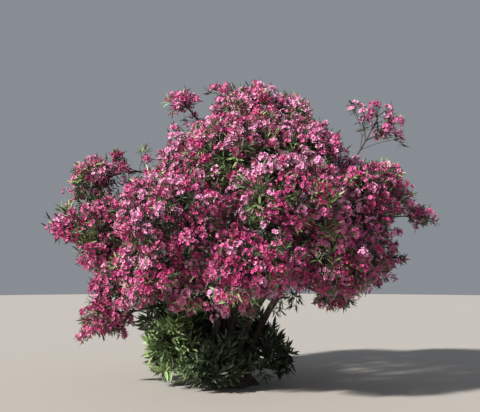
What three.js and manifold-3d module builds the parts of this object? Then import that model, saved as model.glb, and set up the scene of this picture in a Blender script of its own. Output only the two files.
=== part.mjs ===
// A tall oleander in full flower, grown as a shrub of many stems in open ground.
// Millimetres, +Z up. The front is -Y. The origin is on the ground, under the root crown.
import * as THREE from "three";
import { mergeVertices } from "three/addons/utils/BufferGeometryUtils.js";
import Module from "manifold-3d";

const wasm = await Module();
wasm.setup();

const GAP = 0.3; // air left where one solid meets the next
const HEART = [250, 0, 1900]; // the middle of the crown, which every mass of foliage faces away from
const SEED = 7;

// The root crown: a low lobed stool that all the stems rise from.
const rootCrown = {
  halfWidth: 330,
  halfDepth: 270,
  lobes: 6,
  lobeDepth: 0.13,
  sides: 20,
  profile: [[1.14, 0], [1.04, 50], [0.92, 130], [0.74, 210], [0.4, 256]], // share of the half width, height
};
const CROWN_DOME = 12; // how far the middle of its top stands above the last ring

// The stems: where each stands on the root crown, and the fork where its boughs leave it.
const stemShape = { footRadius: 62, forkRadius: 38, footHeight: 90, lean: 0.3, sides: 8, steps: 6 };
const stems = {
  left: { foot: [-235, 125], fork: [-760, 60, 1420] },
  front: { foot: [-240, -95], fork: [40, -500, 1640] },
  right: { foot: [60, -175], fork: [720, -420, 1560] },
  outer: { foot: [250, 10], fork: [900, 240, 1480] },
  middle: { foot: [20, 35], fork: [170, 120, 2250] },
  back: { foot: [-20, 215], fork: [-120, 800, 1560] },
};

// Names round a ring, from the right and by way of the back.
const AROUND = ["right", "back_right", "back", "back_left", "left", "front_left", "front", "front_right"];
const BETWEEN = [
  "right_back", "back_right", "back_left", "left_back",
  "left_front", "front_left", "front_right", "right_front",
];
const FIVE = ["back_right", "back_left", "left", "front_left", "front_right"];

// The tiers of foliage. Each is a ring of masses that tilts up to the right: x and z give its left and
// right ends, y its front and back, size the half width and half height of a mass, and from the angle
// of the first mass in degrees.
const tiers = {
  low: { ring: AROUND, from: 0, x: [-1230, 1780], y: [-1450, 1500], z: [1560, 1830], size: [720, 520] },
  middle: { ring: BETWEEN, from: 22, x: [-1700, 1850], y: [-1500, 1650], z: [2090, 2520], size: [740, 600] },
  high: { ring: FIVE, from: 36, x: [-260, 990], y: [-820, 870], z: [3060, 3160], size: [710, 590] },
};

// The masses that stand out of the tiers: centre, half width, half depth and half height.
const outliers = {
  top_left: { at: [230, -40, 3760], size: [490, 590, 550] },
  top_right: { at: [770, 60, 3680], size: [540, 600, 530] },
  top_tuft: { at: [-640, 60, 4000], size: [260, 240, 240], core: 0, shoots: 3 },
  left_lobe: { at: [-1900, 80, 2860], size: [460, 470, 410] },
  left_tip: { at: [-2360, 40, 2210], size: [230, 220, 180], core: 0, shoots: 2 },
  left_hanging: { at: [-1700, -60, 1010], size: [430, 420, 380] },
  right_shoulder: { at: [2190, 40, 2840], size: [380, 430, 330] },
  right_spray: { at: [2120, 60, 3690], size: [430, 340, 360], core: 0, shoots: 4 },
  right_tip: { at: [2690, 40, 2370], size: [300, 260, 200], core: 0, shoots: 3 },
  right_hanging: { at: [1480, -160, 1300], size: [430, 420, 270] },
};

// The leafy shoots that crowd round the foot, with no flowers.
const basals = {
  basal_left: { at: [-700, -120, 650], size: [460, 450, 650], from: [-250, 60, 190] },
  basal_front: { at: [-170, -480, 340], size: [430, 340, 340], from: [-130, -190, 130] },
  basal_right: { at: [670, 40, 450], size: [300, 360, 420], from: [290, 60, 150] },
  basal_back: { at: [200, 600, 590], size: [390, 400, 590], from: [130, 200, 150] },
  basal_back_left: { at: [-380, 620, 630], size: [410, 380, 630], from: [-150, 200, 150] },
};

// The boughs: the stem each leaves, the share of the way up it, and the masses that fork from its tip.
const boughShape = { mostRadius: 34, startShare: 0.8, tipRadius: 17, turn: 0.45, sides: 6, steps: 4 };
const FORKS_APART = 0.1; // from one fork of a bough back to the next, as a share of the bough
const RIGHT_SPRAYS = ["right_shoulder", "right_spray"];
const boughs = {
  right: { stem: "outer", up: 1, carries: ["right_tip", "middle_right_front", "low_right"] },
  back_right: { stem: "outer", up: 0.78, carries: ["middle_right_back", "low_back_right"] },
  back: { stem: "back", up: 1, carries: ["middle_back_right", "low_back"] },
  back_left: { stem: "back", up: 0.78, carries: ["middle_back_left", "low_back_left"] },
  left: { stem: "left", up: 1, carries: ["left_tip", "middle_left_back", "low_left"] },
  front_left: { stem: "left", up: 0.78, carries: ["middle_left_front", "low_front_left"] },
  front: { stem: "front", up: 1, carries: ["middle_front_left", "low_front"] },
  front_right: { stem: "right", up: 1, carries: ["middle_front_right", "low_front_right"] },
  high_left: { stem: "front", up: 0.82, carries: ["high_front_left", "high_left"] },
  high_right: { stem: "right", up: 0.8, carries: ["high_front_right", "high_back_right"] },
  high_back: { stem: "back", up: 0.9, carries: ["high_back_left"] },
  top: { stem: "middle", up: 1, carries: ["top_left", "top_right", "top_tuft"] },
  left_lobe: { stem: "left", up: 0.9, carries: ["left_lobe"], tip: [-1150, 70, 2980] },
  right_spray: { stem: "middle", up: 0.93, carries: RIGHT_SPRAYS, tip: [1800, 70, 2970] },
  left_hanging: { stem: "left", up: 0.68, carries: ["left_hanging"], tip: [-1220, -250, 1040] },
  right_hanging: { stem: "right", up: 0.88, carries: ["right_hanging"], tip: [1180, -330, 1320] },
};
const BEND = 0.45; // where a limb's curve bends, as a share of its span
const BOUGH_REACH = 0.6; // how far a bough runs from the heart towards the middle of what it carries

// The twigs, leaves and blossom of a mass, which reach to the edge of its space. Each leaf stands for a
// spray of leaves and each star for a cluster of flowers, so both are larger than life.
const twig = { stemRadius: 16, shootRadius: 11, sideRadius: 9, tipRadius: 6 };
const shoots = { main: 3, sideAt: 0.6, swing: 0.45, spread: 1.2, apart: 0.16, reach: 1.05 };
const SHOOT_TRIES = [1, 0.92, 0.84, 0.76, 0.68, 0.6, 0.52, 0.44, 0.36]; // the shares of its length
const SET_BACK = [0.55, 0.85]; // how much shorter a shoot is for its leaves or flower head, as a share
const leaf = { length: 380, most: 0.8, width: 0.32, widest: 0.45, thickness: 13, lean: 0.9, sunk: 24 };
const LEAVES = 3; // in a whorl
const LEAF_TRIES = [1, 0.8, 0.6]; // shares of its length that a leaf is tried at
const bloom = { radius: 140, petals: 5, notch: 0.6, height: 0.45, share: 0.5, most: 0.42, upward: 0.45 };
const VARIED = [0.85, 1.15]; // how leaves and flower heads vary in size
const CORE = 0.88; // a dense mass's core as a share of its size
const coreShape = { pulledIn: [0.8, 1], step: 0.03, inside: 8 };
const MOST_REACH = 1.1; // how far foliage may stand from its mass's centre, as a share of the mass's size
const GROUND_CLEARANCE = 4; // how far foliage stays above the ground
const GOLDEN_ANGLE = Math.PI * (3 - Math.sqrt(5));

const bark = new THREE.MeshStandardMaterial({ color: 0x6a5b4b, roughness: 0.9, metalness: 0 });
const green = new THREE.MeshStandardMaterial({ color: 0x4c6b35, roughness: 0.6, metalness: 0 });
const rose = new THREE.MeshStandardMaterial({ color: 0xd24a7e, roughness: 0.6, metalness: 0 });

const vector = (xyz) => new THREE.Vector3(...xyz);
const mix = (a, b, share) => a.clone().lerp(b, share);
const towards = (a, b) => b.clone().sub(a).normalize();
const sideways = (along) => new THREE.Vector3(0.3, 0.1, 1).cross(along).normalize();

// Pseudo-random numbers between two ends, the same on every run.
function seeded(seed) {
  let state = (seed * 2654435761) >>> 0;
  return (least = 0, most = 1) => {
    state = (Math.imul(state, 1664525) + 1013904223) >>> 0;
    return least + ((most - least) * state) / 2 ** 32;
  };
}

// A closed geometry as a solid that can be joined and cut.
function solidFrom(geometry) {
  geometry.deleteAttribute("normal");
  geometry.deleteAttribute("uv");
  const merged = mergeVertices(geometry, 1e-3);
  const corners = merged.index.array;
  const kept = [];
  for (let i = 0; i < corners.length; i += 3) {
    const [a, b, c] = corners.slice(i, i + 3);
    if (a !== b && b !== c && c !== a) kept.push(a, b, c);
  }
  const vertProperties = merged.attributes.position.array;
  return new wasm.Manifold(new wasm.Mesh({ numProp: 3, vertProperties, triVerts: new Uint32Array(kept) }));
}

function geometryFrom(solid) {
  const { vertProperties, triVerts } = solid.getMesh();
  const geometry = new THREE.BufferGeometry();
  geometry.setAttribute("position", new THREE.BufferAttribute(new Float32Array(vertProperties), 3));
  geometry.setIndex(new THREE.BufferAttribute(new Uint32Array(triVerts), 1));
  geometry.computeVertexNormals();
  return geometry;
}

// Moves each vertex of a geometry to where place() says.
function reshape(geometry, place) {
  const at = geometry.attributes.position;
  const p = new THREE.Vector3();
  for (let i = 0; i < at.count; i++) {
    p.fromBufferAttribute(at, i);
    const q = place(p);
    at.setXYZ(i, q.x, q.y, q.z);
  }
  return geometry;
}

// A limb is a curve in one plane that sets off along heading, with a radius at each end.
function limb(from, heading, to, fromRadius, toRadius) {
  const control = from.clone().addScaledVector(heading, BEND * from.distanceTo(to));
  const curve = new THREE.QuadraticBezierCurve3(from, control, to);
  let across = control.clone().sub(from).cross(to.clone().sub(control));
  if (across.length() < 1) across = sideways(heading);
  return { curve, across: across.normalize(), fromRadius, toRadius };
}

const radiusAt = (one, t) => one.fromRadius + (one.toRadius - one.fromRadius) * t;

// The limb's solid: a tapering cylinder bent along its curve. Grow makes it that much larger all round.
function limbSolid({ curve, across, fromRadius, toRadius }, sides, steps, grow = 0) {
  const straight = new THREE.CylinderGeometry(toRadius + grow, fromRadius + grow, 1, sides, steps);
  return solidFrom(
    reshape(straight, ({ x, y, z }) => {
      const t = Math.min(1, Math.max(0, y + 0.5));
      const along = curve.getTangent(t);
      const up = across.clone().cross(along);
      const end = t < 1e-6 ? -grow : t > 1 - 1e-6 ? grow : 0;
      const place = curve.getPoint(t).addScaledVector(along, end);
      return place.addScaledVector(across, x).addScaledVector(up, z);
    }),
  );
}

function rootCrownSolid(grow = 0) {
  const { halfWidth, halfDepth, lobes, lobeDepth, sides, profile } = rootCrown;
  const top = profile.at(-1)[1];
  const outline = profile.map(([share, height]) => new THREE.Vector2(share, height));
  const [under, over] = [0, top + CROWN_DOME].map((height) => new THREE.Vector2(0, height));
  const lathe = new THREE.LatheGeometry([under, ...outline, over], sides);
  return solidFrom(
    reshape(lathe, ({ x, y, z }) => {
      const angle = Math.atan2(z, x);
      const lobe = 1 + lobeDepth * Math.cos(lobes * angle) * (1 - y / (top + CROWN_DOME));
      const out = Math.hypot(x, z) > 0 ? grow : 0;
      const wide = x * lobe * halfWidth + Math.cos(angle) * out;
      const deep = z * lobe * halfDepth + Math.sin(angle) * out;
      return new THREE.Vector3(wide, -deep, y > 0 ? y + grow : 0);
    }),
  );
}

// Every mass of foliage: its space, what it carries, and where its stem starts.
function listMasses() {
  const found = new Map();
  const add = (name, centre, size, more) => {
    found.set(name, { name, centre, size, core: CORE, flowering: true, ...more });
  };
  for (const [tier, { x, y, z, size, ring, from }] of Object.entries(tiers)) {
    ring.forEach((name, i) => {
      const angle = ((from + (360 / ring.length) * i) * Math.PI) / 180;
      const right = 0.5 + Math.cos(angle) / 2;
      const back = 0.5 + Math.sin(angle) / 2;
      const lerp = THREE.MathUtils.lerp;
      const centre = new THREE.Vector3(lerp(...x, right), lerp(...y, back), lerp(...z, right));
      add(`${tier}_${name}`, centre, vector([size[0], size[0], size[1]]), {});
    });
  }
  for (const [name, { at, size, ...more }] of Object.entries(outliers)) {
    add(name, vector(at), vector(size), more);
  }
  for (const [name, { at, size, from }] of Object.entries(basals)) {
    add(name, vector(at), vector(size), { flowering: false, fork: vector(from), shoots: 4 });
  }
  return found;
}

const masses = listMasses();
const heart = vector(HEART);
const solids = new Map(); // each node's name, with its solid and its material
const limbs = new Map(); // each limb's name, with the limb and its solid grown by the gap

// The largest body of a solid: a scrap that a cut leaves is dropped.
function largest(solid) {
  return solid.decompose().reduce((most, body) => (body.volume() > most.volume() ? body : most));
}

// A limb becomes a node, cut clear of the limbs that were there before it.
function addLimb(name, one, { sides, steps }) {
  let made = limbSolid(one, sides, steps);
  for (const { grown } of limbs.values()) made = made.subtract(grown);
  solids.set(name, { solid: largest(made), material: bark });
  limbs.set(name, { one, grown: limbSolid(one, sides, steps, GAP) });
  return one;
}

solids.set("root_crown", { solid: rootCrownSolid(), material: bark });
limbs.set("root_crown", { grown: rootCrownSolid(GAP) });

// Stems rise steeply from the root crown and lean out.
const stemLimbs = {};
for (const [name, { foot, fork }] of Object.entries(stems)) {
  const from = vector([...foot, stemShape.footHeight]);
  const to = vector(fork);
  const heading = mix(new THREE.Vector3(0, 0, 1), towards(from, to), stemShape.lean).normalize();
  const one = limb(from, heading, to, stemShape.footRadius, stemShape.forkRadius);
  stemLimbs[name] = addLimb(`stem_${name}`, one, stemShape);
}

// Boughs leave the stems and run out to between the masses that they carry. The masses' own stems
// leave a bough one after another, from its tip back.
for (const [name, { stem, up, carries, tip }] of Object.entries(boughs)) {
  const parent = stemLimbs[stem];
  const from = parent.curve.getPoint(up);
  const held = carries.map((mass) => masses.get(mass));
  const middle = new THREE.Vector3();
  for (const { centre } of held) middle.addScaledVector(centre, 1 / held.length);
  const to = tip ? vector(tip) : mix(heart, middle, BOUGH_REACH);
  const heading = mix(parent.curve.getTangent(up), towards(from, to), boughShape.turn).normalize();
  const start = Math.min(boughShape.mostRadius, radiusAt(parent, up) * boughShape.startShare);
  const one = addLimb(`bough_${name}`, limb(from, heading, to, start, boughShape.tipRadius), boughShape);
  held.forEach((mass, i) => {
    mass.fork = one.curve.getPoint(1 - i * FORKS_APART);
  });
}

// The stem of each mass runs from its fork to its centre.
for (const { name, fork, centre } of masses.values()) {
  const grown = twigSolid(fork, centre, twig.stemRadius + 2 * GAP, twig.shootRadius + 2 * GAP);
  limbs.set(name, { grown });
}

// The sphere that a mass's share of the crown is reckoned from.
const roundSize = ({ size }) => Math.cbrt(size.x * size.y * size.z);

// How far a place lies inside the mass's own share of the crown, on the mass's side of each flat
// border between it and a neighbour. The share is convex, so what has its corners in it is in it.
function roomAt(place, mass) {
  let room = place.z - GROUND_CLEARANCE;
  for (const other of masses.values()) {
    if (other === mass) continue;
    const apart = mass.centre.distanceTo(other.centre);
    const own = place.distanceToSquared(mass.centre) - roundSize(mass) ** 2;
    const theirs = place.distanceToSquared(other.centre) - roundSize(other) ** 2;
    room = Math.min(room, (theirs - own) / (2 * apart));
  }
  return room;
}

const withinReach = (place, mass) => place.clone().sub(mass.centre).divide(mass.size).length() < MOST_REACH;

// Every limb and stem but the mass's own, as one solid that its twigs and leaves keep clear of.
function othersLimbs(mass) {
  const others = [...limbs].filter(([name]) => name !== mass.name);
  return wasm.Manifold.union(others.map(([, { grown }]) => grown));
}

// A twig between two places: a tapering bar with three sides.
function twigSolid(from, to, fromRadius, toRadius) {
  const along = towards(from, to);
  const spokes = [0, 1, 2].map((k) => sideways(along).applyAxisAngle(along, (k * Math.PI * 2) / 3));
  const corners = [[from, fromRadius], [to, toRadius]].flatMap(([centre, radius]) =>
    spokes.map((spoke) => centre.clone().addScaledVector(spoke, radius)),
  );
  const bar = new THREE.BufferGeometry().setFromPoints(corners);
  bar.setIndex([0, 1, 4, 0, 4, 3, 1, 2, 5, 1, 5, 4, 2, 0, 3, 2, 3, 5, 2, 1, 0, 3, 4, 5]);
  return solidFrom(bar);
}

// A leaf is a blade with eight faces, from its root along a heading. Its tip and its two sides are given
// too, to test whether it has room.
function leafSolid(root, heading, facing, length) {
  const across = heading.clone().cross(facing).normalize().multiplyScalar((length * leaf.width) / 2);
  const up = heading.clone().cross(across).setLength(leaf.thickness / 2);
  const tip = root.clone().addScaledVector(heading, length);
  const middle = mix(root, tip, leaf.widest);
  const place = ({ x, y, z }) => {
    if (Math.abs(x) > 0.5) return x < 0 ? root : tip;
    return middle.clone().addScaledVector(across, y).addScaledVector(up, z);
  };
  const solid = solidFrom(reshape(new THREE.OctahedronGeometry(1), place));
  return { solid, corners: [tip, middle.clone().add(across), middle.clone().sub(across)] };
}

// A flower head: one five-petalled star, as wide as a cluster of blooms.
function bloomSolid(centre, facing, radius) {
  const ball = new THREE.SphereGeometry(1, bloom.petals * 2, 2);
  const turn = new THREE.Quaternion().setFromUnitVectors(new THREE.Vector3(0, 1, 0), facing);
  return solidFrom(
    reshape(ball, ({ x, y, z }) => {
      const step = Math.round((Math.atan2(z, x) / Math.PI) * bloom.petals);
      const share = Math.abs(step) % 2 ? bloom.notch : 1;
      const p = new THREE.Vector3(x * share, y * bloom.height, z * share).multiplyScalar(radius);
      return p.applyQuaternion(turn).add(centre);
    }),
  );
}

// The dense middle of a mass: a faceted ball. Each corner is pulled in a little, and then further
// until it lies in the mass's own share of the crown.
function coreSolid(mass, random) {
  const { pulledIn, step, inside } = coreShape;
  const pulls = new Map();
  return solidFrom(
    reshape(new THREE.OctahedronGeometry(1, 1), (p) => {
      const key = p.toArray().map((v) => v.toFixed(2)).join();
      const out = p.clone().multiply(mass.size).multiplyScalar(mass.core);
      if (!pulls.has(key)) {
        let pull = random(...pulledIn);
        while (roomAt(mass.centre.clone().addScaledVector(out, pull), mass) < inside) pull -= step;
        pulls.set(key, pull);
      }
      return mass.centre.clone().addScaledVector(out, pulls.get(key));
    }),
  );
}

// The directions of the shoots: a golden spiral round the way that faces out of the crown.
function shootHeadings(outward, count, turn) {
  const side = sideways(outward);
  const other = outward.clone().cross(side);
  return Array.from({ length: count }, (_, i) => {
    const out = 1 - (i / count) * shoots.spread;
    const ring = Math.sqrt(Math.max(0, 1 - out * out));
    const angle = i * GOLDEN_ANGLE + turn;
    return outward
      .clone()
      .multiplyScalar(out)
      .addScaledVector(side, ring * Math.cos(angle))
      .addScaledVector(other, ring * Math.sin(angle));
  });
}

// One mass: its stem, the shoots that branch from it, and a flower head or a whorl of leaves on each tip.
function massSolid(mass, seed) {
  const random = seeded(seed);
  const others = othersLimbs(mass);
  const pieces = [twigSolid(mass.fork, mass.centre, twig.stemRadius, twig.shootRadius)];
  if (mass.core) pieces.push(coreSolid(mass, random));
  const clear = (piece) => piece.intersect(others).isEmpty();
  const addIfClear = (piece) => clear(piece) && pieces.push(piece);

  // A twig is drawn in towards its start until it has room. It gives its end, or null.
  const grow = (from, to, fromRadius) => {
    if (roomAt(from, mass) < fromRadius) return null;
    for (const share of SHOOT_TRIES) {
      const end = mix(from, to, share);
      const piece = twigSolid(from, end, fromRadius, twig.tipRadius);
      if (roomAt(end, mass) >= twig.sideRadius && withinReach(end, mass) && clear(piece)) {
        pieces.push(piece);
        return end;
      }
    }
    return null;
  };

  const least = Math.min(...mass.size);
  const leafLength = Math.min(leaf.length, leaf.most * least);
  const bloomRadius = Math.min(bloom.radius, bloom.most * least);

  const addWhorl = (end, heading) => {
    const turn = random(0, Math.PI * 2);
    const side = sideways(heading);
    const root = end.clone().addScaledVector(heading, -leaf.sunk);
    for (let k = 0; k < LEAVES; k++) {
      const round = side.clone().applyAxisAngle(heading, turn + (k * Math.PI * 2) / LEAVES);
      const aim = heading.clone().addScaledVector(round, leaf.lean).normalize();
      const length = leafLength * random(...VARIED);
      for (const share of LEAF_TRIES) {
        const { solid, corners } = leafSolid(root, aim, heading, length * share);
        const fits = corners.every((p) => roomAt(p, mass) > leaf.thickness && withinReach(p, mass));
        if (fits && addIfClear(solid)) break;
      }
    }
  };

  // A shoot runs out from a twig, and ends in a flower head or in a whorl of leaves.
  const addShoot = (from, heading, fromRadius) => {
    const flowers = mass.flowering && random() < bloom.share;
    const back = (flowers ? bloomRadius : leafLength) * random(...SET_BACK);
    const edge = heading.clone().multiply(mass.size).multiplyScalar(shoots.reach).add(mass.centre);
    const end = grow(from, edge.addScaledVector(heading, -back), fromRadius);
    if (!end) return null;
    const way = towards(from, end);
    const radius = bloomRadius * random(...VARIED);
    if (flowers && roomAt(end, mass) > radius) {
      addIfClear(bloomSolid(end, mix(way, new THREE.Vector3(0, 0, 1), bloom.upward).normalize(), radius));
    } else addWhorl(end, way);
    return end;
  };

  const along = towards(mass.fork, mass.centre);
  const outward = mass.flowering ? towards(heart, mass.centre) : along;
  const turn = random(0, Math.PI * 2);
  shootHeadings(outward, mass.shoots ?? shoots.main, turn).forEach((heading, i) => {
    const start = mass.centre.clone().addScaledVector(along, mass.core ? 0 : -i * shoots.apart * least);
    const end = addShoot(start, heading, twig.shootRadius);
    if (!end) return;
    const swing = new THREE.Vector3(random(-1, 1), random(-1, 1), random(-1, 1));
    const aside = mix(heading, swing.cross(heading).normalize(), shoots.swing).normalize();
    addShoot(mix(start, end, shoots.sideAt), aside, twig.sideRadius);
  });
  return largest(wasm.Manifold.union(pieces).subtract(others));
}

[...masses.values()].forEach((mass, i) => {
  const material = mass.flowering ? rose : green;
  solids.set(`foliage_${mass.name}`, { solid: massSolid(mass, SEED + i), material });
});

const oleander = new THREE.Group();
for (const [name, { solid, material }] of solids) {
  const mesh = new THREE.Mesh(geometryFrom(solid), material);
  mesh.name = name;
  oleander.add(mesh);
}

export default oleander;
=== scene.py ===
# %% [markdown]
# A tall oleander in full flower, grown as a shrub of many stems in open ground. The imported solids
# already give every stem, bough and mass of foliage its place and its reach. This lesson dresses them:
# bark with relief on the wood, then finer and finer twigs, and on the last twigs the leaves and the
# blossom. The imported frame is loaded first, because every later piece is worked out from it.

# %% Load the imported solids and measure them
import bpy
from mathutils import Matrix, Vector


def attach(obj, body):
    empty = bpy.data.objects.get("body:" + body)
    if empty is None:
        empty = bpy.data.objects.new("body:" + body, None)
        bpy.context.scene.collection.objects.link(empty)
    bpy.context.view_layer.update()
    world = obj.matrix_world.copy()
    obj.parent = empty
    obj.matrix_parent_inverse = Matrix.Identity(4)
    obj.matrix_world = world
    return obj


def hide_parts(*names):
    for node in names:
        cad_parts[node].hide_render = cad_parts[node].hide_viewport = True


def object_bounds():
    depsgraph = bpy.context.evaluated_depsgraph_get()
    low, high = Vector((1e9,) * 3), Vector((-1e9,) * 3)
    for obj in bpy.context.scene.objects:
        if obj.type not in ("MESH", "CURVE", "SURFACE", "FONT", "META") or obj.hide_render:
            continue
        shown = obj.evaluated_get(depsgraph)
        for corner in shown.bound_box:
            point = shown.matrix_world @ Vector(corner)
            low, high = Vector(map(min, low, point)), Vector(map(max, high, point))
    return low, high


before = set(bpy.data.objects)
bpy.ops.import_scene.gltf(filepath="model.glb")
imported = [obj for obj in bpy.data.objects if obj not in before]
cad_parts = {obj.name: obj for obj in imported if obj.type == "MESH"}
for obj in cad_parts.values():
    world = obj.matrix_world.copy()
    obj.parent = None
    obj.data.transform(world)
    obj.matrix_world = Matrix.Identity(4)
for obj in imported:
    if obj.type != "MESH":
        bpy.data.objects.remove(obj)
cad_low, cad_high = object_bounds()
print("packed nodes:", len(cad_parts), "box:", cad_low[:], cad_high[:])

# %% The other modules
import math

import bpy
import numpy as np

# %% [markdown]
# The camera stands 9.4 m in front of the shrub at eye height and looks slightly up. A focal length in
# pixels turns straight into a lens length, because both measure the same cone of view. Working in the
# photograph's own terms makes each later comparison a plain overlay.

# %% The camera
PICTURE_WIDTH = 480  # pixels
FOCAL_PIXELS = 660
EYE = (0.17, -9.43, 1.56)  # metres
LOOK_UP = 5.75  # degrees above level
SENSOR_WIDTH = 36.0  # millimetres

lens = bpy.data.cameras.new("eye_lens")
lens.sensor_width = SENSOR_WIDTH
lens.lens = SENSOR_WIDTH * FOCAL_PIXELS / PICTURE_WIDTH
camera = bpy.data.objects.new("eye", lens)
camera.location = EYE
camera.rotation_euler = (math.radians(90 + LOOK_UP), 0, 0)
bpy.context.collection.objects.link(camera)
bpy.context.scene.camera = camera
print("lens length in millimetres:", round(lens.lens, 1))

# %% [markdown]
# The light is plain: one sun from the upper left, in front, so that the crown is bright on that side
# and dark in its hollows, and a pale backdrop all round that fills the shade. The floor is a disc. A
# sun with a wide disc gives shadows with soft edges, which suits thousands of small leaves.

# %% The light and the floor
TO_SUN = (-0.76, -0.48, 0.57)
SUN_STRENGTH = 6.6
SUN_WIDTH = 4.0  # degrees
SUN_COLOUR = (1.0, 0.96, 0.90)
BACKDROP_COLOUR = (0.80, 0.86, 0.95)
BACKDROP_STRENGTH = 0.31
FLOOR_RADIUS = 40.0  # metres
FLOOR_SIDES = 64
FLOOR_COLOUR = (0.42, 0.40, 0.37)
FLOOR_ROUGHNESS = 0.9
FLOOR_GAP = 0.002  # how far the floor lies below the flat foot of the shrub


def look_from(direction):
    """The turn that points a lamp's -Z axis away from a direction, so that it shines from there."""
    x, y, z = direction
    return (math.atan2(math.hypot(x, y), z), 0, math.atan2(x, -y))


def new_material(name):
    """A material that uses nodes, with its node tree and its shader."""
    material = bpy.data.materials.new(name)
    material.use_nodes = True
    return material, material.node_tree, material.node_tree.nodes["Principled BSDF"]


sun = bpy.data.lights.new("sun", "SUN")
sun.energy = SUN_STRENGTH
sun.angle = math.radians(SUN_WIDTH)
sun.color = SUN_COLOUR
sun_lamp = bpy.data.objects.new("sun", sun)
sun_lamp.rotation_euler = look_from(TO_SUN)
bpy.context.collection.objects.link(sun_lamp)

world = bpy.data.worlds.new("backdrop")
world.use_nodes = True
backdrop = world.node_tree.nodes["Background"]
backdrop.inputs["Color"].default_value = (*BACKDROP_COLOUR, 1)
backdrop.inputs["Strength"].default_value = BACKDROP_STRENGTH
bpy.context.scene.world = world
bpy.context.scene.view_settings.view_transform = "Standard"

turns = np.linspace(0, 2 * np.pi, FLOOR_SIDES, endpoint=False)
rim = np.stack([np.cos(turns), np.sin(turns), np.zeros(FLOOR_SIDES)], axis=1) * FLOOR_RADIUS
floor_mesh = bpy.data.meshes.new("floor")
floor_mesh.from_pydata(rim.tolist(), [], [list(range(FLOOR_SIDES))])
floor = bpy.data.objects.new("floor", floor_mesh)
floor.location = (0, 0, -FLOOR_GAP)
bpy.context.collection.objects.link(floor)
pale, _, ground_shader = new_material("pale_floor")
ground_shader.inputs["Base Color"].default_value = (*FLOOR_COLOUR, 1)
ground_shader.inputs["Roughness"].default_value = FLOOR_ROUGHNESS
floor.data.materials.append(pale)
print("sun turned by", [round(a, 2) for a in sun_lamp.rotation_euler])

# %% [markdown]
# Every limb of the shrub is an arc in one plane: it sets off along a heading and bends towards its
# end. A quadratic curve with a start, a bend and an end gives exactly that, and thousands of them fit
# in one array. All the helpers below work on whole arrays of arcs at once.

# %% Arcs as arrays
UP = np.array([0, 0, 1.0])
SKEW = np.array([0.3, 0.1, 1.0])  # a direction that no twig follows exactly
TINY = 1e-9  # stands in for nothing where something is divided by it


def unit(vectors):
    """Each vector divided by its length."""
    return vectors / np.maximum(np.linalg.norm(vectors, axis=-1, keepdims=True), TINY)


def mix(a, b, share):
    """A straight blend: a + (b - a) * share."""
    return a + (b - a) * share


def shares_for(arcs, shares):
    """The same shares for every arc, or one row of shares for each arc."""
    return np.broadcast_to(shares, (len(arcs), np.shape(shares)[-1]))


def points_on(arcs, shares):
    """Places on arcs: (1 - t)^2 start + 2t(1 - t) bend + t^2 end."""
    t = shares_for(arcs, shares)
    return np.stack([(1 - t) ** 2, 2 * t * (1 - t), t**2], axis=-1) @ arcs


def headings_on(arcs, shares):
    """Unit tangents of arcs: (1 - t)(bend - start) + t(end - bend)."""
    t = shares_for(arcs, shares)
    return unit(np.stack([1 - t, t], axis=-1) @ np.diff(arcs, axis=1))


def arcs_from(start, heading, end, bend=0.45):
    """Arcs that leave each start along a heading, with the bend at that share of the distance."""
    far = np.linalg.norm(end - start, axis=-1, keepdims=True)
    return np.stack([start, start + heading * bend * far, end], axis=-2)


def square_to(headings):
    """Two directions at right angles to each heading: skew x heading, and heading x the first."""
    side = unit(np.cross(SKEW, headings))
    return side, np.cross(headings, side)


quarter = arcs_from(np.zeros((1, 3)), UP[None], np.array([[1.0, 0, 1]]), bend=0.7)
print("a quarter turn, at half its share:", points_on(quarter, [0.5])[0, 0].round(3))

# %% [markdown]
# The wood that carries the crown is six stems and sixteen boughs. Their numbers are the packed
# solids' own, in metres: where each stem stands on the root crown, where it forks, and which masses
# of foliage each bough carries. Repeating the rule, instead of measuring the solids, keeps the fine
# twigs growing from the true tips.

# %% The stems
STEM_FOOT_HEIGHT = 0.09
STEM_RADII = (0.062, 0.038)
STEM_LEAD = 0.3  # how far the foot already leans: 0 is upright, and 1 is straight at the fork
STEMS = {  # the foot's place on the root crown, and the fork
    "left": ((-0.235, 0.125), (-0.76, 0.06, 1.42)),
    "front": ((-0.24, -0.095), (0.04, -0.5, 1.64)),
    "right": ((0.06, -0.175), (0.72, -0.42, 1.56)),
    "outer": ((0.25, 0.01), (0.9, 0.24, 1.48)),
    "middle": ((0.02, 0.035), (0.17, 0.12, 2.25)),
    "back": ((-0.02, 0.215), (-0.12, 0.8, 1.56)),
}


def stem_arc(foot, fork):
    """A stem leaves the root crown steeply and leans towards its fork."""
    start, end = np.array([*foot, STEM_FOOT_HEIGHT]), np.array(fork)
    return arcs_from(start, unit(mix(UP, unit(end - start), STEM_LEAD)), end)


stem_arcs = {name: stem_arc(foot, fork) for name, (foot, fork) in STEMS.items()}
print("stems:", len(stem_arcs), "straight lengths:",
      [round(float(np.linalg.norm(arc[2] - arc[0])), 2) for arc in stem_arcs.values()])

# %% [markdown]
# The crown is thirty-one rounded masses of foliage, and five more stand at the foot. Most masses of
# the crown stand in three rings, one above another, so each ring is one rule with a blend between its
# left and right ends and its front and back ends. The lobes and tufts that break the outline are named
# one by one.

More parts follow.
